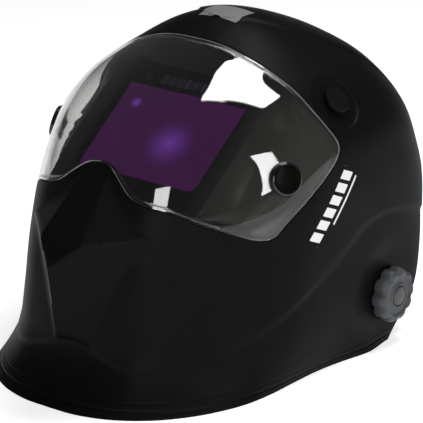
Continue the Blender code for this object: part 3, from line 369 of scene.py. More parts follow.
front = np.linspace(0, 27, 61)
turns = np.radians(np.concatenate([front, np.linspace(28.5, 70, 24), np.linspace(72.6, 180, 42)]))
grid = shell_point(turns[None, :], np.linspace(0, len(LEVELS) - 1, 161)[:, None])
grid[:, 0, 0] = 0.0
grid[:, -1, 0] = 0.0
bm = bmesh.new()
crown = bm.verts.new(grid[0, 0])
rows = [[crown] * len(turns)] + [[bm.verts.new(p) for p in row] for row in grid[1:]]
for i in range(len(rows) - 1):
    for j in range(len(turns) - 1):
        ring = [rows[i][j], rows[i + 1][j], rows[i + 1][j + 1], rows[i][j + 1]]
        bm.faces.new(ring if i else ring[:3])
bmesh.ops.mirror(bm, geom=bm.verts[:] + bm.edges[:] + bm.faces[:], axis="X", merge_dist=1e-6)
bmesh.ops.recalc_face_normals(bm, faces=bm.faces)
# the same surface three times as fine, for laying other pieces on it
around = np.radians(np.linspace(-180, 180, 721))
fine = shell_point(around[None, :], np.linspace(0, len(LEVELS) - 1, 481)[:, None])
number = np.arange(fine.shape[0] * fine.shape[1]).reshape(fine.shape[:2])
quads = np.stack([number[:-1, :-1], number[1:, :-1], number[1:, 1:], number[:-1, 1:]], -1).reshape(-1, 4)
SKIN = BVHTree.FromPolygons(fine.reshape(-1, 3).tolist(), quads.tolist())
shell = finish_mesh("shell", bm, EYE)
wall = shell.modifiers.new("wall", "SOLIDIFY")
wall.thickness = SHELL_WALL
wall.offset = -1.0


def cast(direction, depth=0.0):
    """The point under the outer surface, that deep, in a direction from the eye point."""
    hit, normal, _, _ = SKIN.ray_cast(EYE, direction)
    if normal.dot(direction) < 0:
        normal = -normal
    return hit - normal * depth, normal


def visor_ring(grow, depth, share=1.0, count=90):
    """The visor's outline, grown or shrunk about its middle and sunk under the surface."""
    half = spline(np.linspace(0, len(VISOR_LINE) - 1, count), VISOR_LINE)
    points = [Vector((p[0], p[1] + CROWN_Y, p[2])) for p in half]
    points += [Vector((-p.x, p.y, p.z)) for p in points[-2:0:-1]]
    middle = cast(VISOR_WAY)[0]
    ring = []
    for p in points:
        moved = cast(p + (p - middle).normalized() * grow - EYE)[0]
        ring.append(cast(middle + (moved - middle) * share - EYE, depth)[0])
    return ring


def frame_at(origin, out, up=Vector((0, 0, 1))):
    """A matrix whose local Z points out of a surface and whose local Y is as near up as it can be."""
    z = Vector(out).normalized()
    x = Vector(up).cross(z).normalized()
    return Matrix.Translation(origin) @ Matrix((x, z.cross(x), z)).transposed().to_4x4()


def surface_place(x, y, z):
    hit, normal, _, _ = SKIN.find_nearest(Vector((x, CROWN_Y + y, z)))
    if normal.dot(hit - EYE) < 0:
        normal = -normal
    return frame_at(hit, normal)


def circle(radius, z, sides):
    turns = [2 * math.pi * i / sides for i in range(sides)]
    return [(radius * math.cos(a), radius * math.sin(a), z) for a in turns]


def turned(name, profile, place, sides=96, angle=35.0, close=True):
    """A turned piece: (radius, height) pairs from the outer end inwards, spun about local Z."""
    bm = bmesh.new()
    rings = []
    for r, z in profile:
        if r < 1e-6:
            rings.append([bm.verts.new((0, 0, z))])
        else:
            rings.append([bm.verts.new(p) for p in circle(r, z, sides)])
    pairs = list(zip(rings, rings[1:]))
    if close:
        pairs.append((rings[-1], rings[0]))
    for a, b in pairs:
        for i in range(sides):
            j = (i + 1) % sides
            ring = [a[i % len(a)], a[j % len(a)], b[j % len(b)], b[i % len(b)]]
            ring = list(dict.fromkeys(ring))
            if len(ring) > 2:
                bm.faces.new(ring)
    bm.transform(place)
    return finish_mesh(name, bm, angle=angle)


cutters = bpy.data.collections.new("cutters")
bpy.context.scene.collection.children.link(cutters)


def as_cutter(obj):
    for home in list(obj.users_collection):
        home.objects.unlink(obj)
    cutters.objects.link(obj)
    obj.hide_render = True
    obj.display_type = "WIRE"


BUTTON_PLACE = surface_place(0.095, 0.003, 0.185)
DISH_R = 0.0212
edge = [(CROWN_Y + y, z) for y, z in spline(np.linspace(0, len(BACK_EDGE) - 1, 60), BACK_EDGE)]
outline = [(-0.25, -0.02), (0.25, -0.02), (0.25, edge[-1][1])] + edge[::-1] + [(-0.25, 0.0)]
bm = bmesh.new()
face = bm.faces.new([bm.verts.new((-0.25, y, z)) for y, z in outline])
for v in bmesh.ops.extrude_face_region(bm, geom=[face])["geom"]:
    if isinstance(v, bmesh.types.BMVert):
        v.co.x = 0.25
as_cutter(finish_mesh("behind_and_below", bm))
rings = [visor_ring(0.0003, 0.0, share) for share in (1.0, 0.8, 0.6, 0.4, 0.2)]
bm = bmesh.new()
ends = []
for reach in (0.86, 1.08):
    rows = [[bm.verts.new(EYE + (p - EYE) * reach) for p in ring] for ring in rings]
    tip = bm.verts.new(EYE + (cast(VISOR_WAY)[0] - EYE) * reach)
    for a, b in zip(rows, rows[1:]):
        for i in range(len(a)):
            bm.faces.new((a[i], a[(i + 1) % len(a)], b[(i + 1) % len(a)], b[i]))
    for i in range(len(rows[-1])):
        bm.faces.new((rows[-1][i], rows[-1][(i + 1) % len(rows[-1])], tip))
    ends.append(rows[0])
for i in range(len(ends[0])):
    j = (i + 1) % len(ends[0])
    bm.faces.new((ends[0][i], ends[0][j], ends[1][j], ends[1][i]))
as_cutter(finish_mesh("window", bm))
as_cutter(turned("dish_hole", [(0, 0.02), (DISH_R, 0.02), (DISH_R, -0.01), (0, -0.01)], BUTTON_PLACE,
                 close=False))
cut = shell.modifiers.new("openings", "BOOLEAN")
cut.operand_type = "COLLECTION"
cut.collection = cutters
cut.solver = "EXACT"
bake(shell)
for old in list(cutters.objects):
    bpy.data.objects.remove(old)
shell.data.set_sharp_from_angle(angle=math.radians(38))
outer = shell.data.attributes.new("outer", "FLOAT", "POINT")
outer.data.foreach_set("value", [float(SKIN.find_nearest(v.co)[3] < 0.0005) for v in shell.data.vertices])

# the dish's floor, pressed into the same wall: a rounded step, a flat seat and the button's hole
rows = []
for r, deep in ((0.0218, 0.00035), (0.0213, 0.0001), (0.0208, 0.0003), (0.0203, 0.0008), (0.0198, 0.0012),
                (0.0185, 0.0014), (0.0160, 0.0015), (0.0130, 0.0016), (0.0112, 0.0017), (0.0080, 0.0017),
                (0.0037, 0.0017), (0.0036, 0.0019), (0.0036, 0.0030)):
    row = []
    for i in range(120):
        a = 2 * math.pi * i / 120
        flat = BUTTON_PLACE @ Vector((r * math.cos(a), r * math.sin(a), 0.0))
        hit, normal, _, _ = SKIN.find_nearest(flat)
        even = smooth_step(r, 0.010, 0.018)
        out = BUTTON_PLACE.to_3x3() @ Vector((0, 0, 1))
        seat = flat - out * 0.0003
        row.append(seat.lerp(hit, float(even)) - out * deep)
    rows.append(row)
dish = finish_mesh("dish", plate(rows, closed=True), angle=60)
if (dish.data.polygons[0].normal).dot(BUTTON_PLACE.to_3x3() @ Vector((0, 0, 1))) < 0:
    dish.data.flip_normals()

paint = moulded("shell_black", (0.0036, 0.0034, 0.0032), 0.50, 0.000018, (0.10, 0.09, 0.08))
paint.body.inputs["Specular IOR Level"].default_value = 0.062
# printed marks: a row of slanted bars over a thin line at the left side, a plain bar on the crown
MARK_Y, MARK_Z = -0.0173, 0.1185
SLOPE_Y, SLOPE_Z = 0.684, 0.729
along = (paint.axis("Y") - MARK_Y) * SLOPE_Y + (paint.axis("Z") - MARK_Z) * SLOPE_Z
across = (paint.axis("Z") - MARK_Z) * SLOPE_Y - (paint.axis("Y") - MARK_Y) * SLOPE_Z
bars = ((along + across * 0.35) / 0.0096).math("FRACT").near(0.5, 0.36).over(0.0, 0.05)
bars = bars * along.near(0.0, 0.0288).over(0.0, 0.005) * across.near(0.0, 0.0050).over(0.0, 0.03)
line = (along - 0.010).near(0.0, 0.0190).over(0.0, 0.01) * (across + 0.0092).near(0.0, 0.0009).over(0.0, 0.2)
side = (bars + line) * paint.axis("X").over(0.06, 0.061) * paint.stored("outer")
crown_wide = paint.axis("X").near(0.0, 0.0160).over(0.0, 0.01)
crown_deep = (paint.axis("Y") - 0.010).near(0.0, 0.0110).over(0.0, 0.02)
crown_bar = crown_wide * crown_deep * paint.axis("Z").over(0.20, 0.201) * paint.stored("outer")
base = paint.mix(crown_bar, paint.given("Base Color"), (0.20, 0.20, 0.20))
paint.put(Base_Color=paint.mix(side, base, (0.78, 0.78, 0.77)))
# two fine grooves just above the rim
height = paint.axis("Z")
lip = height.near(0.0046, 0.0011) + height.near(0.0088, 0.0007) * 0.4
paint.put(Normal=paint.bump(lip * -1.0, 0.0006, 0.9, onto=paint.given("Normal")))
for part in (shell, dish):
    part.data.materials.clear()
    part.data.materials.append(paint.material)
    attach(part, "helmet")
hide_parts("helmet_shell")

# ---- the visor ---------------------------------------------------------------------------
# A sheet of clear polycarbonate bent to the dome, 2 mm thick. Its cut edge is coloured pale grey,
# a painted highlight for the bright line along the edge, and fine ribs near its top and bottom
# edges are drawn in its finish.
shares = (1.0, 0.992, 0.982, 0.97, 0.955, 0.935, 0.9, 0.86, 0.8, 0.73, 0.65, 0.57, 0.48, 0.39, 0.3, 0.2,
          0.1)
rings = [visor_ring(-0.0013, 0.0, share) for share in shares]
bm = plate(rings, closed=True)
inset = bm.verts.layers.float.new("inset")
along = bm.verts.layers.float.new("along")
bm.verts.ensure_lookup_table()
count = len(rings[0])
run = np.cumsum([0.0] + [(rings[0][i] - rings[0][i - 1]).length for i in range(1, count)])
for k, ring in enumerate(rings):
    for i in range(count):
        bm.verts[k * count + i][inset] = (ring[i] - rings[0][i]).length
        bm.verts[k * count + i][along] = run[i]
tip = bm.verts.new(cast(VISOR_WAY)[0])
tip[inset] = 0.08
tip[along] = 0.0
bm.verts.ensure_lookup_table()
last = (len(rings) - 1) * count
for i in range(count):
    bm.faces.new((bm.verts[last + i], bm.verts[last + (i + 1) % count], tip))
visor = finish_mesh("visor", bm, EYE)
wall = visor.modifiers.new("wall", "SOLIDIFY")
wall.thickness = 0.002
wall.offset = -1.0
wall.material_offset_rim = 1
paint = Finish("visor_clear", Base_Color=(0.8, 0.8, 0.8, 1.0), IOR=1.49, Transmission_Weight=1.0)
ribs = (paint.stored("along") * 3900.0).math("SINE") * 0.5 + 0.5
on_ribs = paint.stored("inset").near(0.0032, 0.0020) * paint.axis("Z").over(0.186, 0.190)
low_ribs = paint.stored("inset").near(0.0030, 0.0016) * paint.axis("Z").over(0.158, 0.150)
ribs = ribs * (on_ribs + low_ribs * 0.6)
haze = paint.noise(60.0, 4.0, 0.6).over(0.52, 0.75)
specks = paint.noise(1900.0, 1.0, 0.5).over(0.70, 0.76)
paint.put(Base_Color=paint.mix(ribs * 0.5, (0.80, 0.80, 0.79), (0.86, 0.86, 0.85)),
          Roughness=haze * 0.02 + ribs * 0.35 + specks * 0.1 + 0.008,
          Normal=paint.bump(ribs + paint.noise(14.0, 2.0) * 0.6, 0.0003, 0.35))
visor.data.materials.append(paint.material)
# the cut edge: a pale grey colour, a painted highlight for the bright line along the visor's edge
paint = Finish("visor_edge", Base_Color=(0.5, 0.5, 0.5, 1.0), IOR=1.49)
paint.put(Base_Color=paint.mix(paint.noise(500.0, 3.0), (0.45, 0.46, 0.46), (0.75, 0.76, 0.76)),
          Roughness=paint.noise(900.0) * 0.2 + 0.12)
visor.data.materials.append(paint.material)
bake(visor)
visor.data.set_sharp_from_angle(angle=math.radians(40))
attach(visor, "helmet")
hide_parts("outer_visor")

# ---- the lens frame ----------------------------------------------------------------------
# The black frame behind the visor: a flange under the visor's edge, then a funnel with a rounded
# roll round it that drops to the flat mouth in front of the filter.
LEAN_UP = Vector((0.0, 0.8, 0.6))              # the filter leans back: the way up its glass
LEAN_OUT = Vector((0.0, -0.6, 0.8))            # and the way out of it
GLASS_MID = Vector((0.0, CROWN_Y - 0.0703, 0.1562))
FLANGE_DEPTH = 0.0038                          # the frame's flange, under the visor's surface
MOUTH_DEPTH = 0.0036                           # the flat mouth, ahead of the glass


def on_filter(x, up, out=0.0):
    return GLASS_MID + Vector((x, 0, 0)) + LEAN_UP * up + LEAN_OUT * out


def rectangle_ring(ring, x, low, high, out):
    """One point on a rectangle round the glass for each point of an outline ring."""
    middle = on_filter(0, (low + high) / 2, out)
    points = []
    for p in ring:
        way = p - middle
        a, b = way.x, way.dot(LEAN_UP)
        share = (abs(a / x) ** 14 + abs(b / ((high - low) / 2)) ** 14) ** (1 / 14)
        points.append(middle + Vector((a / share, 0, 0)) + LEAN_UP * (b / share))
    return points


brink = visor_ring(-0.0030, FLANGE_DEPTH)
mouth = rectangle_ring(brink, 0.0650, -0.0645, 0.0525, MOUTH_DEPTH)
inner = rectangle_ring(brink, 0.0520, -0.0385, 0.0465, MOUTH_DEPTH)
lip = rectangle_ring(brink, 0.0516, -0.0381, 0.0461, MOUTH_DEPTH - 0.0012)
rows = [visor_ring(0.0050, FLANGE_DEPTH), visor_ring(0.0010, FLANGE_DEPTH), brink]
# how far down the funnel each ring is, and how far it stands off the straight line
for part, rise in ((0.03, -0.0022), (0.07, -0.0030), (0.14, -0.0032), (0.22, -0.0018), (0.30, 0.0002),
                   (0.37, 0.0009), (0.44, 0.0000), (0.50, -0.0022), (0.58, -0.0030), (0.70, -0.0026),
                   (0.82, -0.0016), (0.92, -0.0006)):
    row = []
    for b, m in zip(brink, mouth):
        p = b.lerp(m, part)
        row.append(p + (p - EYE).normalized() * rise)
    rows.append(row)
rows += [mouth, [m.lerp(n, 0.5) for m, n in zip(mouth, inner)], inner, lip]
lens_frame = finish_mesh("lens_frame_fine", plate(rows, closed=True), EYE, 40)
wall = lens_frame.modifiers.new("wall", "SOLIDIFY")
wall.thickness = 0.0016
wall.offset = -1.0
paint = moulded("frame_black", (0.006, 0.006, 0.0062), 0.32, 0.00001)
paint.body.inputs["Specular IOR Level"].default_value = 0.12
# painted reflection: the frame turns light grey towards its outer sides, standing in for the grey sheen the
# visor reflects there
outwards = paint.axis("X").math("ABSOLUTE").over(0.050, 0.094)
paint.put(Base_Color=paint.mix(outwards, paint.given("Base Color"), (0.075, 0.074, 0.069)))
lens_frame.data.materials.append(paint.material)
FRAME_FINISH = paint.material
bake(lens_frame)
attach(lens_frame, "helmet")
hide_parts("lens_frame")

# ---- the filter --------------------------------------------------------------------------
# The auto-darkening cartridge: a coated glass that mirrors violet, in a black case with two arc
# sensors and a solar cell above the glass, two control knobs and a battery tray behind. The glass
# also glows: a faint painted violet glow all over it, a brighter painted glow near the middle and a
# small painted glint near an upper corner.
paint = Finish("violet_glass", Metallic=0.75, IOR=1.5)
x = paint.axis("X")
up = paint.node("ShaderNodeVectorMath", "Value", operation="DOT_PRODUCT", Vector=paint.place)
up.socket.node.inputs[1].default_value = LEAN_UP
y_up = up - GLASS_MID.dot(LEAN_UP)
# painted glow: a round patch of violet light painted into the glass's emission, just off its middle
spot = (((x - 0.008) ** 2.0) + ((y_up + 0.004) ** 2.0)).math("SQRT")
glow = spot.over(0.024, 0.001) ** 2.0
# painted glint: a small bright highlight painted into the emission near an upper corner of the glass
glint = (((x + 0.036) ** 2.0) + ((y_up - 0.021) ** 2.0)).math("SQRT").over(0.006, 0.001) ** 2.0
cloud = paint.noise(22.0, 4.0, 0.6)
colour = paint.mix(cloud.over(0.3, 0.7), (0.075, 0.020, 0.080), (0.045, 0.010, 0.052))
# the emission paints a faint violet glow over the whole glass, brighter in the painted glow and glint
paint.put(Base_Color=colour, Roughness=cloud * 0.06 + 0.10,
          Emission_Color=paint.mix(glow + glint * 1.4, (0.040, 0.005, 0.050), (0.150, 0.040, 0.330)),
          Normal=paint.bump(paint.noise(9.0, 2.0), 0.0002, 0.4))
paint.body.inputs["Emission Strength"].default_value = 0.85
VIOLET = paint.material
nodes = frame["nodes"]


def dress(material, slot, *names):
    """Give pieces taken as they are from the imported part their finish."""
    for name in names:
        obj = nodes[name]
        obj.data.materials.clear()
        obj.data.materials.append(material)


dress(VIOLET, "filter_purple", "filter_glass")
dress(FRAME_FINISH, "frame_black", "filter_case", "filter_retainer", "battery_tray", "grind_switch",
      "left_tilt_stop", "right_tilt_stop")
paint = Finish("clear_cover", Base_Color=(0.96, 0.965, 0.97, 1.0), IOR=1.49, Transmission_Weight=1.0)
paint.put(Roughness=paint.noise(80.0, 4.0).over(0.45, 0.8) * 0.05 + 0.01)
dress(paint.material, "clear", "inner_cover_lens")
paint = Finish("solar_blue", IOR=1.5)
x = paint.axis("X")
lines = (x / 0.0065).math("FRACT").near(0.5, 0.06)
fine = (x / 0.0013).math("FRACT").near(0.5, 0.12) * 0.3
paint.put(Base_Color=paint.mix(lines + fine, (0.006, 0.008, 0.030), (0.20, 0.20, 0.22)),
          Roughness=paint.noise(300.0) * 0.1 + 0.12)
dress(paint.material, "cell_blue", "solar_cell")
paint = Finish("sensor_black", Coat_Weight=0.5)
paint.put(Base_Color=paint.mix(paint.noise(900.0, 2.0), (0.012, 0.003, 0.004), (0.020, 0.004, 0.006)),
          Roughness=paint.noise(400.0) * 0.1 + 0.06)
dress(paint.material, "gloss_black", "left_arc_sensor", "right_arc_sensor")

# ---- visor locks -------------------------------------------------------------------------
# Round black quarter-turn locks, one at each side of the visor: a dark flat face, a polished
# rounded edge and a thin flange at the foot.
paint = Finish("gloss_black", IOR=1.5)
paint.put(Base_Color=paint.mix(paint.noise(240.0, 4.0), (0.004, 0.004, 0.004), (0.008, 0.008, 0.007)),
          Roughness=paint.noise(90.0, 4.0) * 0.06 + 0.05,
          Normal=paint.bump(paint.noise(55.0, 2.0), 0.0001, 0.5))
GLOSS = paint.material
dress(GLOSS, "gloss_black", "pinion")
paint = Finish("lock_face", IOR=1.5)
paint.body.inputs["Specular IOR Level"].default_value = 0.012
paint.put(Base_Color=paint.mix(paint.noise(240.0, 4.0), (0.0026, 0.0026, 0.0023), (0.0045, 0.0045, 0.0040)),
          Roughness=paint.noise(90.0, 4.0) * 0.08 + 0.10)
LOCK_FACE = paint.material
LOCK_FACE_FROM = 0.0029                        # faces further out than this are the flat front
for side in (1, -1):
    place = surface_place(side * 0.106, -0.067, 0.1475)
    name = "left_lock" if side > 0 else "right_lock"
    lock = turned(name, [(0, 0.0033), (0.0040, 0.00328), (0.0080, 0.0032), (0.0098, 0.0030),
                         (0.0106, 0.0026), (0.0110, 0.0020), (0.0111, 0.0011), (0.0116, 0.0011),
                         (0.01175, 0.0008), (0.0115, 0.0002), (0.0040, 0.0002), (0.0040, -0.0032),
                         (0, -0.0032)], place, close=False)
    lock.data.materials.append(GLOSS)
    lock.data.materials.append(LOCK_FACE)
    for polygon in lock.data.polygons:
        if (place.inverted() @ polygon.center).z > LOCK_FACE_FROM:
            polygon.material_index = 1
    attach(lock, name.replace("lock", "visor_lock"))
    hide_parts(name.replace("lock", "visor_lock"))

# ---- grind button ------------------------------------------------------------------------
# A flat round push button in the shell's dish, with a softened edge and a slightly hollowed top.
button = turned("button", [(0, 0.0028), (0.005, 0.0029), (0.0082, 0.0031), (0.0090, 0.0030),
                           (0.0095, 0.0025), (0.0097, 0.0018), (0.0097, 0.0006), (0.0030, 0.0005),
                           (0.0030, -0.0085), (0, -0.0085)], BUTTON_PLACE, close=False)
paint = moulded("button_black", (0.0055, 0.0052, 0.0048), 0.48, 0.000012, (0.12, 0.11, 0.10))
paint.body.inputs["Specular IOR Level"].default_value = 0.07
button.data.materials.append(paint.material)
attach(button, "grind_button")
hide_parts("grind_button")

# ---- tension knobs -----------------------------------------------------------------------
# Grey scalloped knobs with ten grips, a flat rim, a turned hollow in the face and a darker cap
# in the middle.
KNOB_R = 0.0195
KNOB_LOBES = 10
BOLT_BORE = 0.0033                             # radius of the hole a knob turns on
paint = moulded("knob_grey", (0.055, 0.060, 0.066), 0.50, 0.00002, (0.3, 0.3, 0.3))
paint.body.inputs["Specular IOR Level"].default_value = 0.3
grey = paint.material
dark = moulded("cap_grey", (0.034, 0.033, 0.032), 0.44, 0.00001, (0.2, 0.2, 0.2)).material


def scalloped(name, radius, lobes, deep, hole, profile, place, sides=240):
    """A knob: its bore's radius and end, then (inset, height, share of the scallop) rings from
    the foot up and in to the middle."""
    rows = []
    for z in (hole[1], profile[0][1]):
        rows.append(circle(hole[0], z, sides))
    for inset, z, share in profile:
        row = []
        for i in range(sides):
            a = 2 * math.pi * i / sides
            hollow = (0.5 - 0.5 * math.cos(lobes * a)) ** 2.2
            r = radius - inset - deep * hollow * share
            row.append((r * math.cos(a), r * math.sin(a), z))
        rows.append(row)
    bm = plate(rows, closed=True)
    bm.verts.ensure_lookup_table()
    bm.faces.new([bm.verts[i] for i in range(sides)])
    bm.faces.new([bm.verts[(len(rows) - 1) * sides + i] for i in range(sides)])
    bm.transform(place)
    return finish_mesh(name, bm, angle=40)


for side, hand in ((1, "left"), (-1, "right")):
    place = frame_at(Vector((side * PIVOT_X, PIVOT_Y, PIVOT_Z)), (side, 0, 0))
    knob = scalloped(hand + "_knob", KNOB_R, KNOB_LOBES, 0.0024, (BOLT_BORE, 0.0074),
                     ((0.0012, 0.0006, 1.0), (0.0004, 0.0009, 1.0), (0.0, 0.0016, 1.0),
                      (0.0, 0.0068, 1.0), (0.0003, 0.0080, 1.0), (0.0009, 0.0092, 0.95),
                      (0.0018, 0.0102, 0.85), (0.0030, 0.0107, 0.7), (0.0042, 0.0108, 0.5),
                      (0.0050, 0.0106, 0.25), (0.0056, 0.0100, 0.0), (0.0064, 0.0097, 0.0),
                      (0.0096, 0.0097, 0.0), (0.0104, 0.0100, 0.0), (0.0108, 0.0106, 0.0),
                      (0.0116, 0.0108, 0.0), (0.0122, 0.0104, 0.0), (0.0122, 0.0094, 0.0)), place)
    knob.data.materials.append(grey)
    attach(knob, hand + "_tension_knob")
    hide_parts(hand + "_tension_knob")
    cap = turned(hand + "_cap", [(0, 0.0114), (0.0030, 0.0114), (0.0055, 0.0112), (0.0066, 0.0107),
                                 (0.0070, 0.0100), (0.0070, 0.0094), (0, 0.0094)], place, close=False)
    cap.data.materials.append(dark)
    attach(cap, hand + "_tension_knob")
    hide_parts(hand + "_knob_cap")

# ---- pivots and side arms ----------------------------------------------------------------
# Under each knob: a felt washer, the tilt stop and the arm on its zinc bolt. A block slides in the
# arm's slot and carries the headband, which is black nylon strap like the crown straps.
steel = Finish("zinc_steel", Metallic=1.0)
steel.put(Base_Color=steel.mix(steel.noise(600.0, 4.0), (0.50, 0.50, 0.52), (0.62, 0.61, 0.58)),
          Roughness=steel.noise(150.0, 4.0) * 0.2 + 0.22,
          Normal=steel.bump(steel.noise(1500.0), 0.00001, 0.5))
felt = Finish("pad_felt")
felt.put(Base_Color=felt.mix(felt.noise(1600.0, 4.0, 0.7), (0.018, 0.018, 0.020), (0.055, 0.055, 0.058)),
         Roughness=felt.noise(500.0) * 0.1 + 0.85, Normal=felt.bump(felt.noise(2300.0, 4.0, 0.7), 0.0002))
strap_black = moulded("strap_black", (0.014, 0.014, 0.015), 0.42, 0.00002).material
dress(steel.material, "zinc_steel", "left_pivot_bolt", "right_pivot_bolt", "coin_cell")
dress(felt.material, "pad_cloth", "left_friction_washer", "right_friction_washer")
dress(strap_black, "strap_black", "left_side_arm", "right_side_arm", "left_band_block", "right_band_block",
      "left_rack_strap", "right_rack_strap", "left_crown_strap", "right_crown_strap", "headband",
      "ratchet_housing")
dress(grey, "knob_grey", "left_reach_lock", "right_reach_lock", "crown_pin", "sensitivity_knob", "delay_knob")
dress(moulded("lead_black", (0.016, 0.016, 0.016), 0.5, 0.00001).material, "lead_black", "switch_lead")

# ---- ratchet knob ------------------------------------------------------------------------
# The grey knob behind the head that draws the band in: twelve lobes, a turned rim and a dished
# face with a raised boss.
BAND_Y, BAND_Z = 0.0597, 0.041                 # the headband's middle
BAND_HALF_W, BAND_HALF_L = 0.07875, 0.094      # and its strap line's half width and half length
RATCHET_R = 0.0225
RATCHET_LOBES = 12
KNOB_BEHIND = 0.014                            # from the strap line back to the knob's foot
place = frame_at(Vector((0, BAND_Y + BAND_HALF_L + KNOB_BEHIND, BAND_Z)), (0, 1, 0))
knob = scalloped("ratchet_grip", RATCHET_R, RATCHET_LOBES, 0.0021, (BOLT_BORE, 0.0084),
                 ((0.0012, 0.0006, 1.0), (0.0003, 0.0010, 1.0), (0.0, 0.0018, 1.0), (0.0, 0.0098, 1.0),
                  (0.0004, 0.0112, 1.0), (0.0012, 0.0124, 0.9), (0.0024, 0.0132, 0.7), (0.0038, 0.0136, 0.5),
                  (0.0050, 0.0134, 0.3), (0.0060, 0.0126, 0.0), (0.0072, 0.0120, 0.0), (0.0120, 0.0120, 0.0),
                  (0.0128, 0.0124, 0.0), (0.0134, 0.0130, 0.0), (0.0146, 0.0131, 0.0)), place)
knob.data.materials.append(grey)
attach(knob, "ratchet_knob")
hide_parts("ratchet_knob")

# ---- brow pad ----------------------------------------------------------------------------
# The sweatband inside the front of the headband: a foam strip in knitted cloth, quilted across
# by seven sewn channels, with a row of stitches along the top and the bottom.
knit = Finish("pad_cloth")
along, across = knit.stored("along"), knit.stored("across")
loops = (along * 4200.0).math("SINE") * (across * 4200.0).math("SINE") * 0.5 + 0.5
stitch = (along * 1900.0).math("SINE").over(-0.2, 0.4) * knit.stored("seam")
fuzz = knit.noise(3600.0, 4.0, 0.7)
tone = knit.mix(knit.noise(70.0, 4.0).over(0.35, 0.7), (0.020, 0.020, 0.022), (0.031, 0.031, 0.034))
tone = knit.mix(loops * 0.5 + fuzz * 0.3, tone, (0.052, 0.052, 0.056))
knit.put(Base_Color=knit.mix(stitch, tone, (0.14, 0.14, 0.145)), Roughness=fuzz * 0.1 + 0.84,
         Normal=knit.bump(loops * 0.5 + fuzz * 0.5 + stitch, 0.00035, 0.9))
knit.body.inputs["Sheen Weight"].default_value = 0.25


def soft_loft(name, rows, marks):
    """A closed padded form from rings; marks gives along, across and seam for each point."""
    bm = plate(rows, closed=True)
    layers = [bm.verts.layers.float.new(key) for key in ("along", "across", "seam")]
    bm.verts.ensure_lookup_table()
    size = len(rows[0])
    for k, ring in enumerate(marks):
        for i, values in enumerate(ring):
            for layer, value in zip(layers, values):
                bm.verts[k * size + i][layer] = value
    for k in (0, len(rows) - 1):
        bm.faces.new([bm.verts[k * size + i] for i in range(size)])
    return finish_mesh(name, bm)


def band_point(turn, z, grow):
    """A point on the headband's plan, at a height from its middle, grown outwards."""
    full = 2.0 if math.cos(turn) >= 0 else 4.0
    wide, long = abs(math.sin(turn) / BAND_HALF_W), abs(math.cos(turn) / BAND_HALF_L)
    reach = (wide ** full + long ** full) ** (-1 / full) + grow
    return Vector((reach * math.sin(turn), BAND_Y - reach * math.cos(turn), BAND_Z + z))


BROW_SPAN = 72                                 # degrees to each side of the middle
CHANNEL_EVERY = 18                             # degrees between sewn channels
BROW_HALF_TALL = 0.0163
BROW_THICK = 0.00545
BROW_BACK = 0.00168                            # its back face, inside the band's strap line
BROW_SEAM = 0.0132                             # stitches, above and below the middle
rows, marks = [], []
span, steps = math.radians(BROW_SPAN), 220
for k in range(steps + 1):
    turn = -span + 2 * span * k / steps
    end = 1.0 - (2 * k / steps - 1) ** 40
    end = max(end, 0.02) ** 0.5
    from_channel = ((turn / math.radians(CHANNEL_EVERY)) + 0.5) % 1.0 - 0.5
    channel = math.exp(-(from_channel * CHANNEL_EVERY / 1.1) ** 2)
    row, mark = [], []
    for i in range(40):
        a = 2 * math.pi * i / 40
        ca, sa = math.cos(a), math.sin(a)
        high = BROW_HALF_TALL * end * math.copysign(abs(sa) ** 0.45, sa)
        swell = 1.0 - (high / 0.0175) ** 2 * 0.55
        seam = max(0.0, 1.0 - abs(abs(high) - BROW_SEAM) / 0.0008)
        thick = BROW_THICK * end * swell * (1.0 - 0.42 * channel) * (1.0 - 0.22 * seam)
        inward = thick * (0.5 + 0.5 * math.copysign(abs(ca) ** 0.5, ca))
        row.append(band_point(turn, high, -BROW_BACK - inward))
        mark.append((turn * 0.08, high, seam if ca > 0 else 0.0))
    rows.append(row)
    marks.append(mark)
brow = soft_loft("brow_cushion", rows, marks)
brow.data.materials.append(knit.material)
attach(brow, "headgear")
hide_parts("brow_pad")

# ---- rear pad ----------------------------------------------------------------------------
# A small foam cushion between the ratchet housing and the back of the head, crowned to the
# middle, with two sewn channels and a row of stitches round the edge.
REAR_HALF_W, REAR_HALF_TALL = 0.0356, 0.0206
REAR_EDGE = 0.0037                             # thickness at the edge, and what the middle adds
rows, marks = [], []
back = BAND_Y + BAND_HALF_L - 0.0055 - 0.0003
rings = [(0.02, -0.0002), (0.5, -0.0001), (0.90, -0.0001), (0.97, 0.0002), (0.995, 0.0010), (1.0, 0.0020),
         (0.99, 0.0030), (0.965, REAR_EDGE)]
rings += [(share, None) for share in np.linspace(0.94, 0.02, 34)]
for share, depth in rings:
    row, mark = [], []
    for i in range(160):
        a = 2 * math.pi * i / 160
        ca, sa = math.cos(a), math.sin(a)
        x = REAR_HALF_W * share * math.copysign(abs(ca) ** 0.42, ca)
        z = REAR_HALF_TALL * share * math.copysign(abs(sa) ** 0.42, sa)
        seam = max(0.0, 1.0 - abs(share - 0.88) / 0.03) if depth is None else 0.0
        if depth is None:
            crown = 1.0 - max(abs(x) / REAR_HALF_W, abs(z) / REAR_HALF_TALL) ** 3
            channel = math.exp(-((abs(x) - 0.0120) / 0.0011) ** 2)
            lift = REAR_EDGE + REAR_EDGE * crown * (1.0 - 0.55 * channel) - 0.0006 * seam
        else:
            lift = depth
        row.append(Vector((x, back - max(lift, 0.0), BAND_Z + z)))
        mark.append((x if abs(sa) > 0.7 else z, z if abs(sa) > 0.7 else x, seam))
    rows.append(row)
    marks.append(mark)
nape = soft_loft("nape_cushion", rows, marks)
nape.data.materials.append(knit.material)
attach(nape, "headgear")
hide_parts("rear_pad")

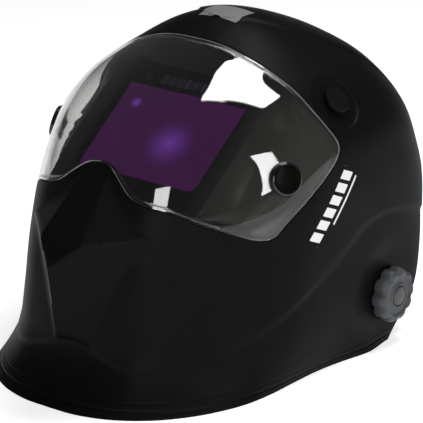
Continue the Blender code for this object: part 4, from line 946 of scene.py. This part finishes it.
# ---- the floor, the lights and the camera ------------------------------------------------
# A pale, faintly glowing floor that runs out of sight, one long soft light overhead, a tall one
# at the right and a square one by the camera.
floor_mesh = bpy.data.meshes.new("floor")
floor_mesh.from_pydata([(-30, -30, 0), (30, -30, 0), (30, 30, 0), (-30, 30, 0)], [], [(0, 1, 2, 3)])
floor = bpy.data.objects.new("floor", floor_mesh)
bpy.context.scene.collection.objects.link(floor)
ground = Finish("floor_paper")
ground.put(Base_Color=ground.mix(ground.noise(3.0, 3.0), (0.80, 0.80, 0.80), (0.82, 0.82, 0.82)),
           Roughness=0.9, Emission_Color=(1.0, 1.0, 1.0))
ground.body.inputs["Emission Strength"].default_value = 0.62
floor_mesh.materials.append(ground.material)


def soft_light(name, at, aim, wide, tall, power, roll=0.0):
    light = bpy.data.lights.new(name, "AREA")
    light.shape = "RECTANGLE"
    light.size, light.size_y = wide, tall
    light.energy = power
    obj = bpy.data.objects.new(name, light)
    bpy.context.scene.collection.objects.link(obj)
    way = (Vector(aim) - Vector(at)).to_track_quat("-Z", "Y")
    obj.matrix_world = Matrix.Translation(at) @ way.to_matrix().to_4x4() @ Matrix.Rotation(roll, 4, "Z")


soft_light("overhead", (0.09, 0.30, 1.20), (0.05, -0.03, 0.19), 0.66, 0.26, 9.0, math.radians(25))
soft_light("right_panel", (1.42, -0.20, 0.65), (0.09, -0.07, 0.15), 0.22, 0.64, 5.5)
soft_light("by_camera", (0.93, -1.37, 0.62), (0.05, -0.13, 0.13), 0.55, 0.55, 9.0)
world = bpy.data.worlds.new("room")
bpy.context.scene.world = world
world.use_nodes = True
world.node_tree.nodes["Background"].inputs["Color"].default_value = (1.0, 1.0, 1.0, 1.0)
world.node_tree.nodes["Background"].inputs["Strength"].default_value = 0.09
bpy.context.scene.view_settings.view_transform = "Standard"

lens = bpy.data.cameras.new("camera")
lens.lens = 270.0
lens.sensor_width = 36.0
lens.clip_end = 100.0
camera = bpy.data.objects.new("camera", lens)
bpy.context.scene.collection.objects.link(camera)
turn, rise, back = math.radians(38.0), math.radians(20.0), 2.2
centre = Vector((0.0, -0.0068, 0.0872))
camera.location = centre + Vector((math.sin(turn) * math.cos(rise), -math.cos(turn) * math.cos(rise),
                                   math.sin(rise))) * back
camera.rotation_euler = (centre - camera.location).to_track_quat("-Z", "Y").to_euler()
bpy.context.scene.camera = camera
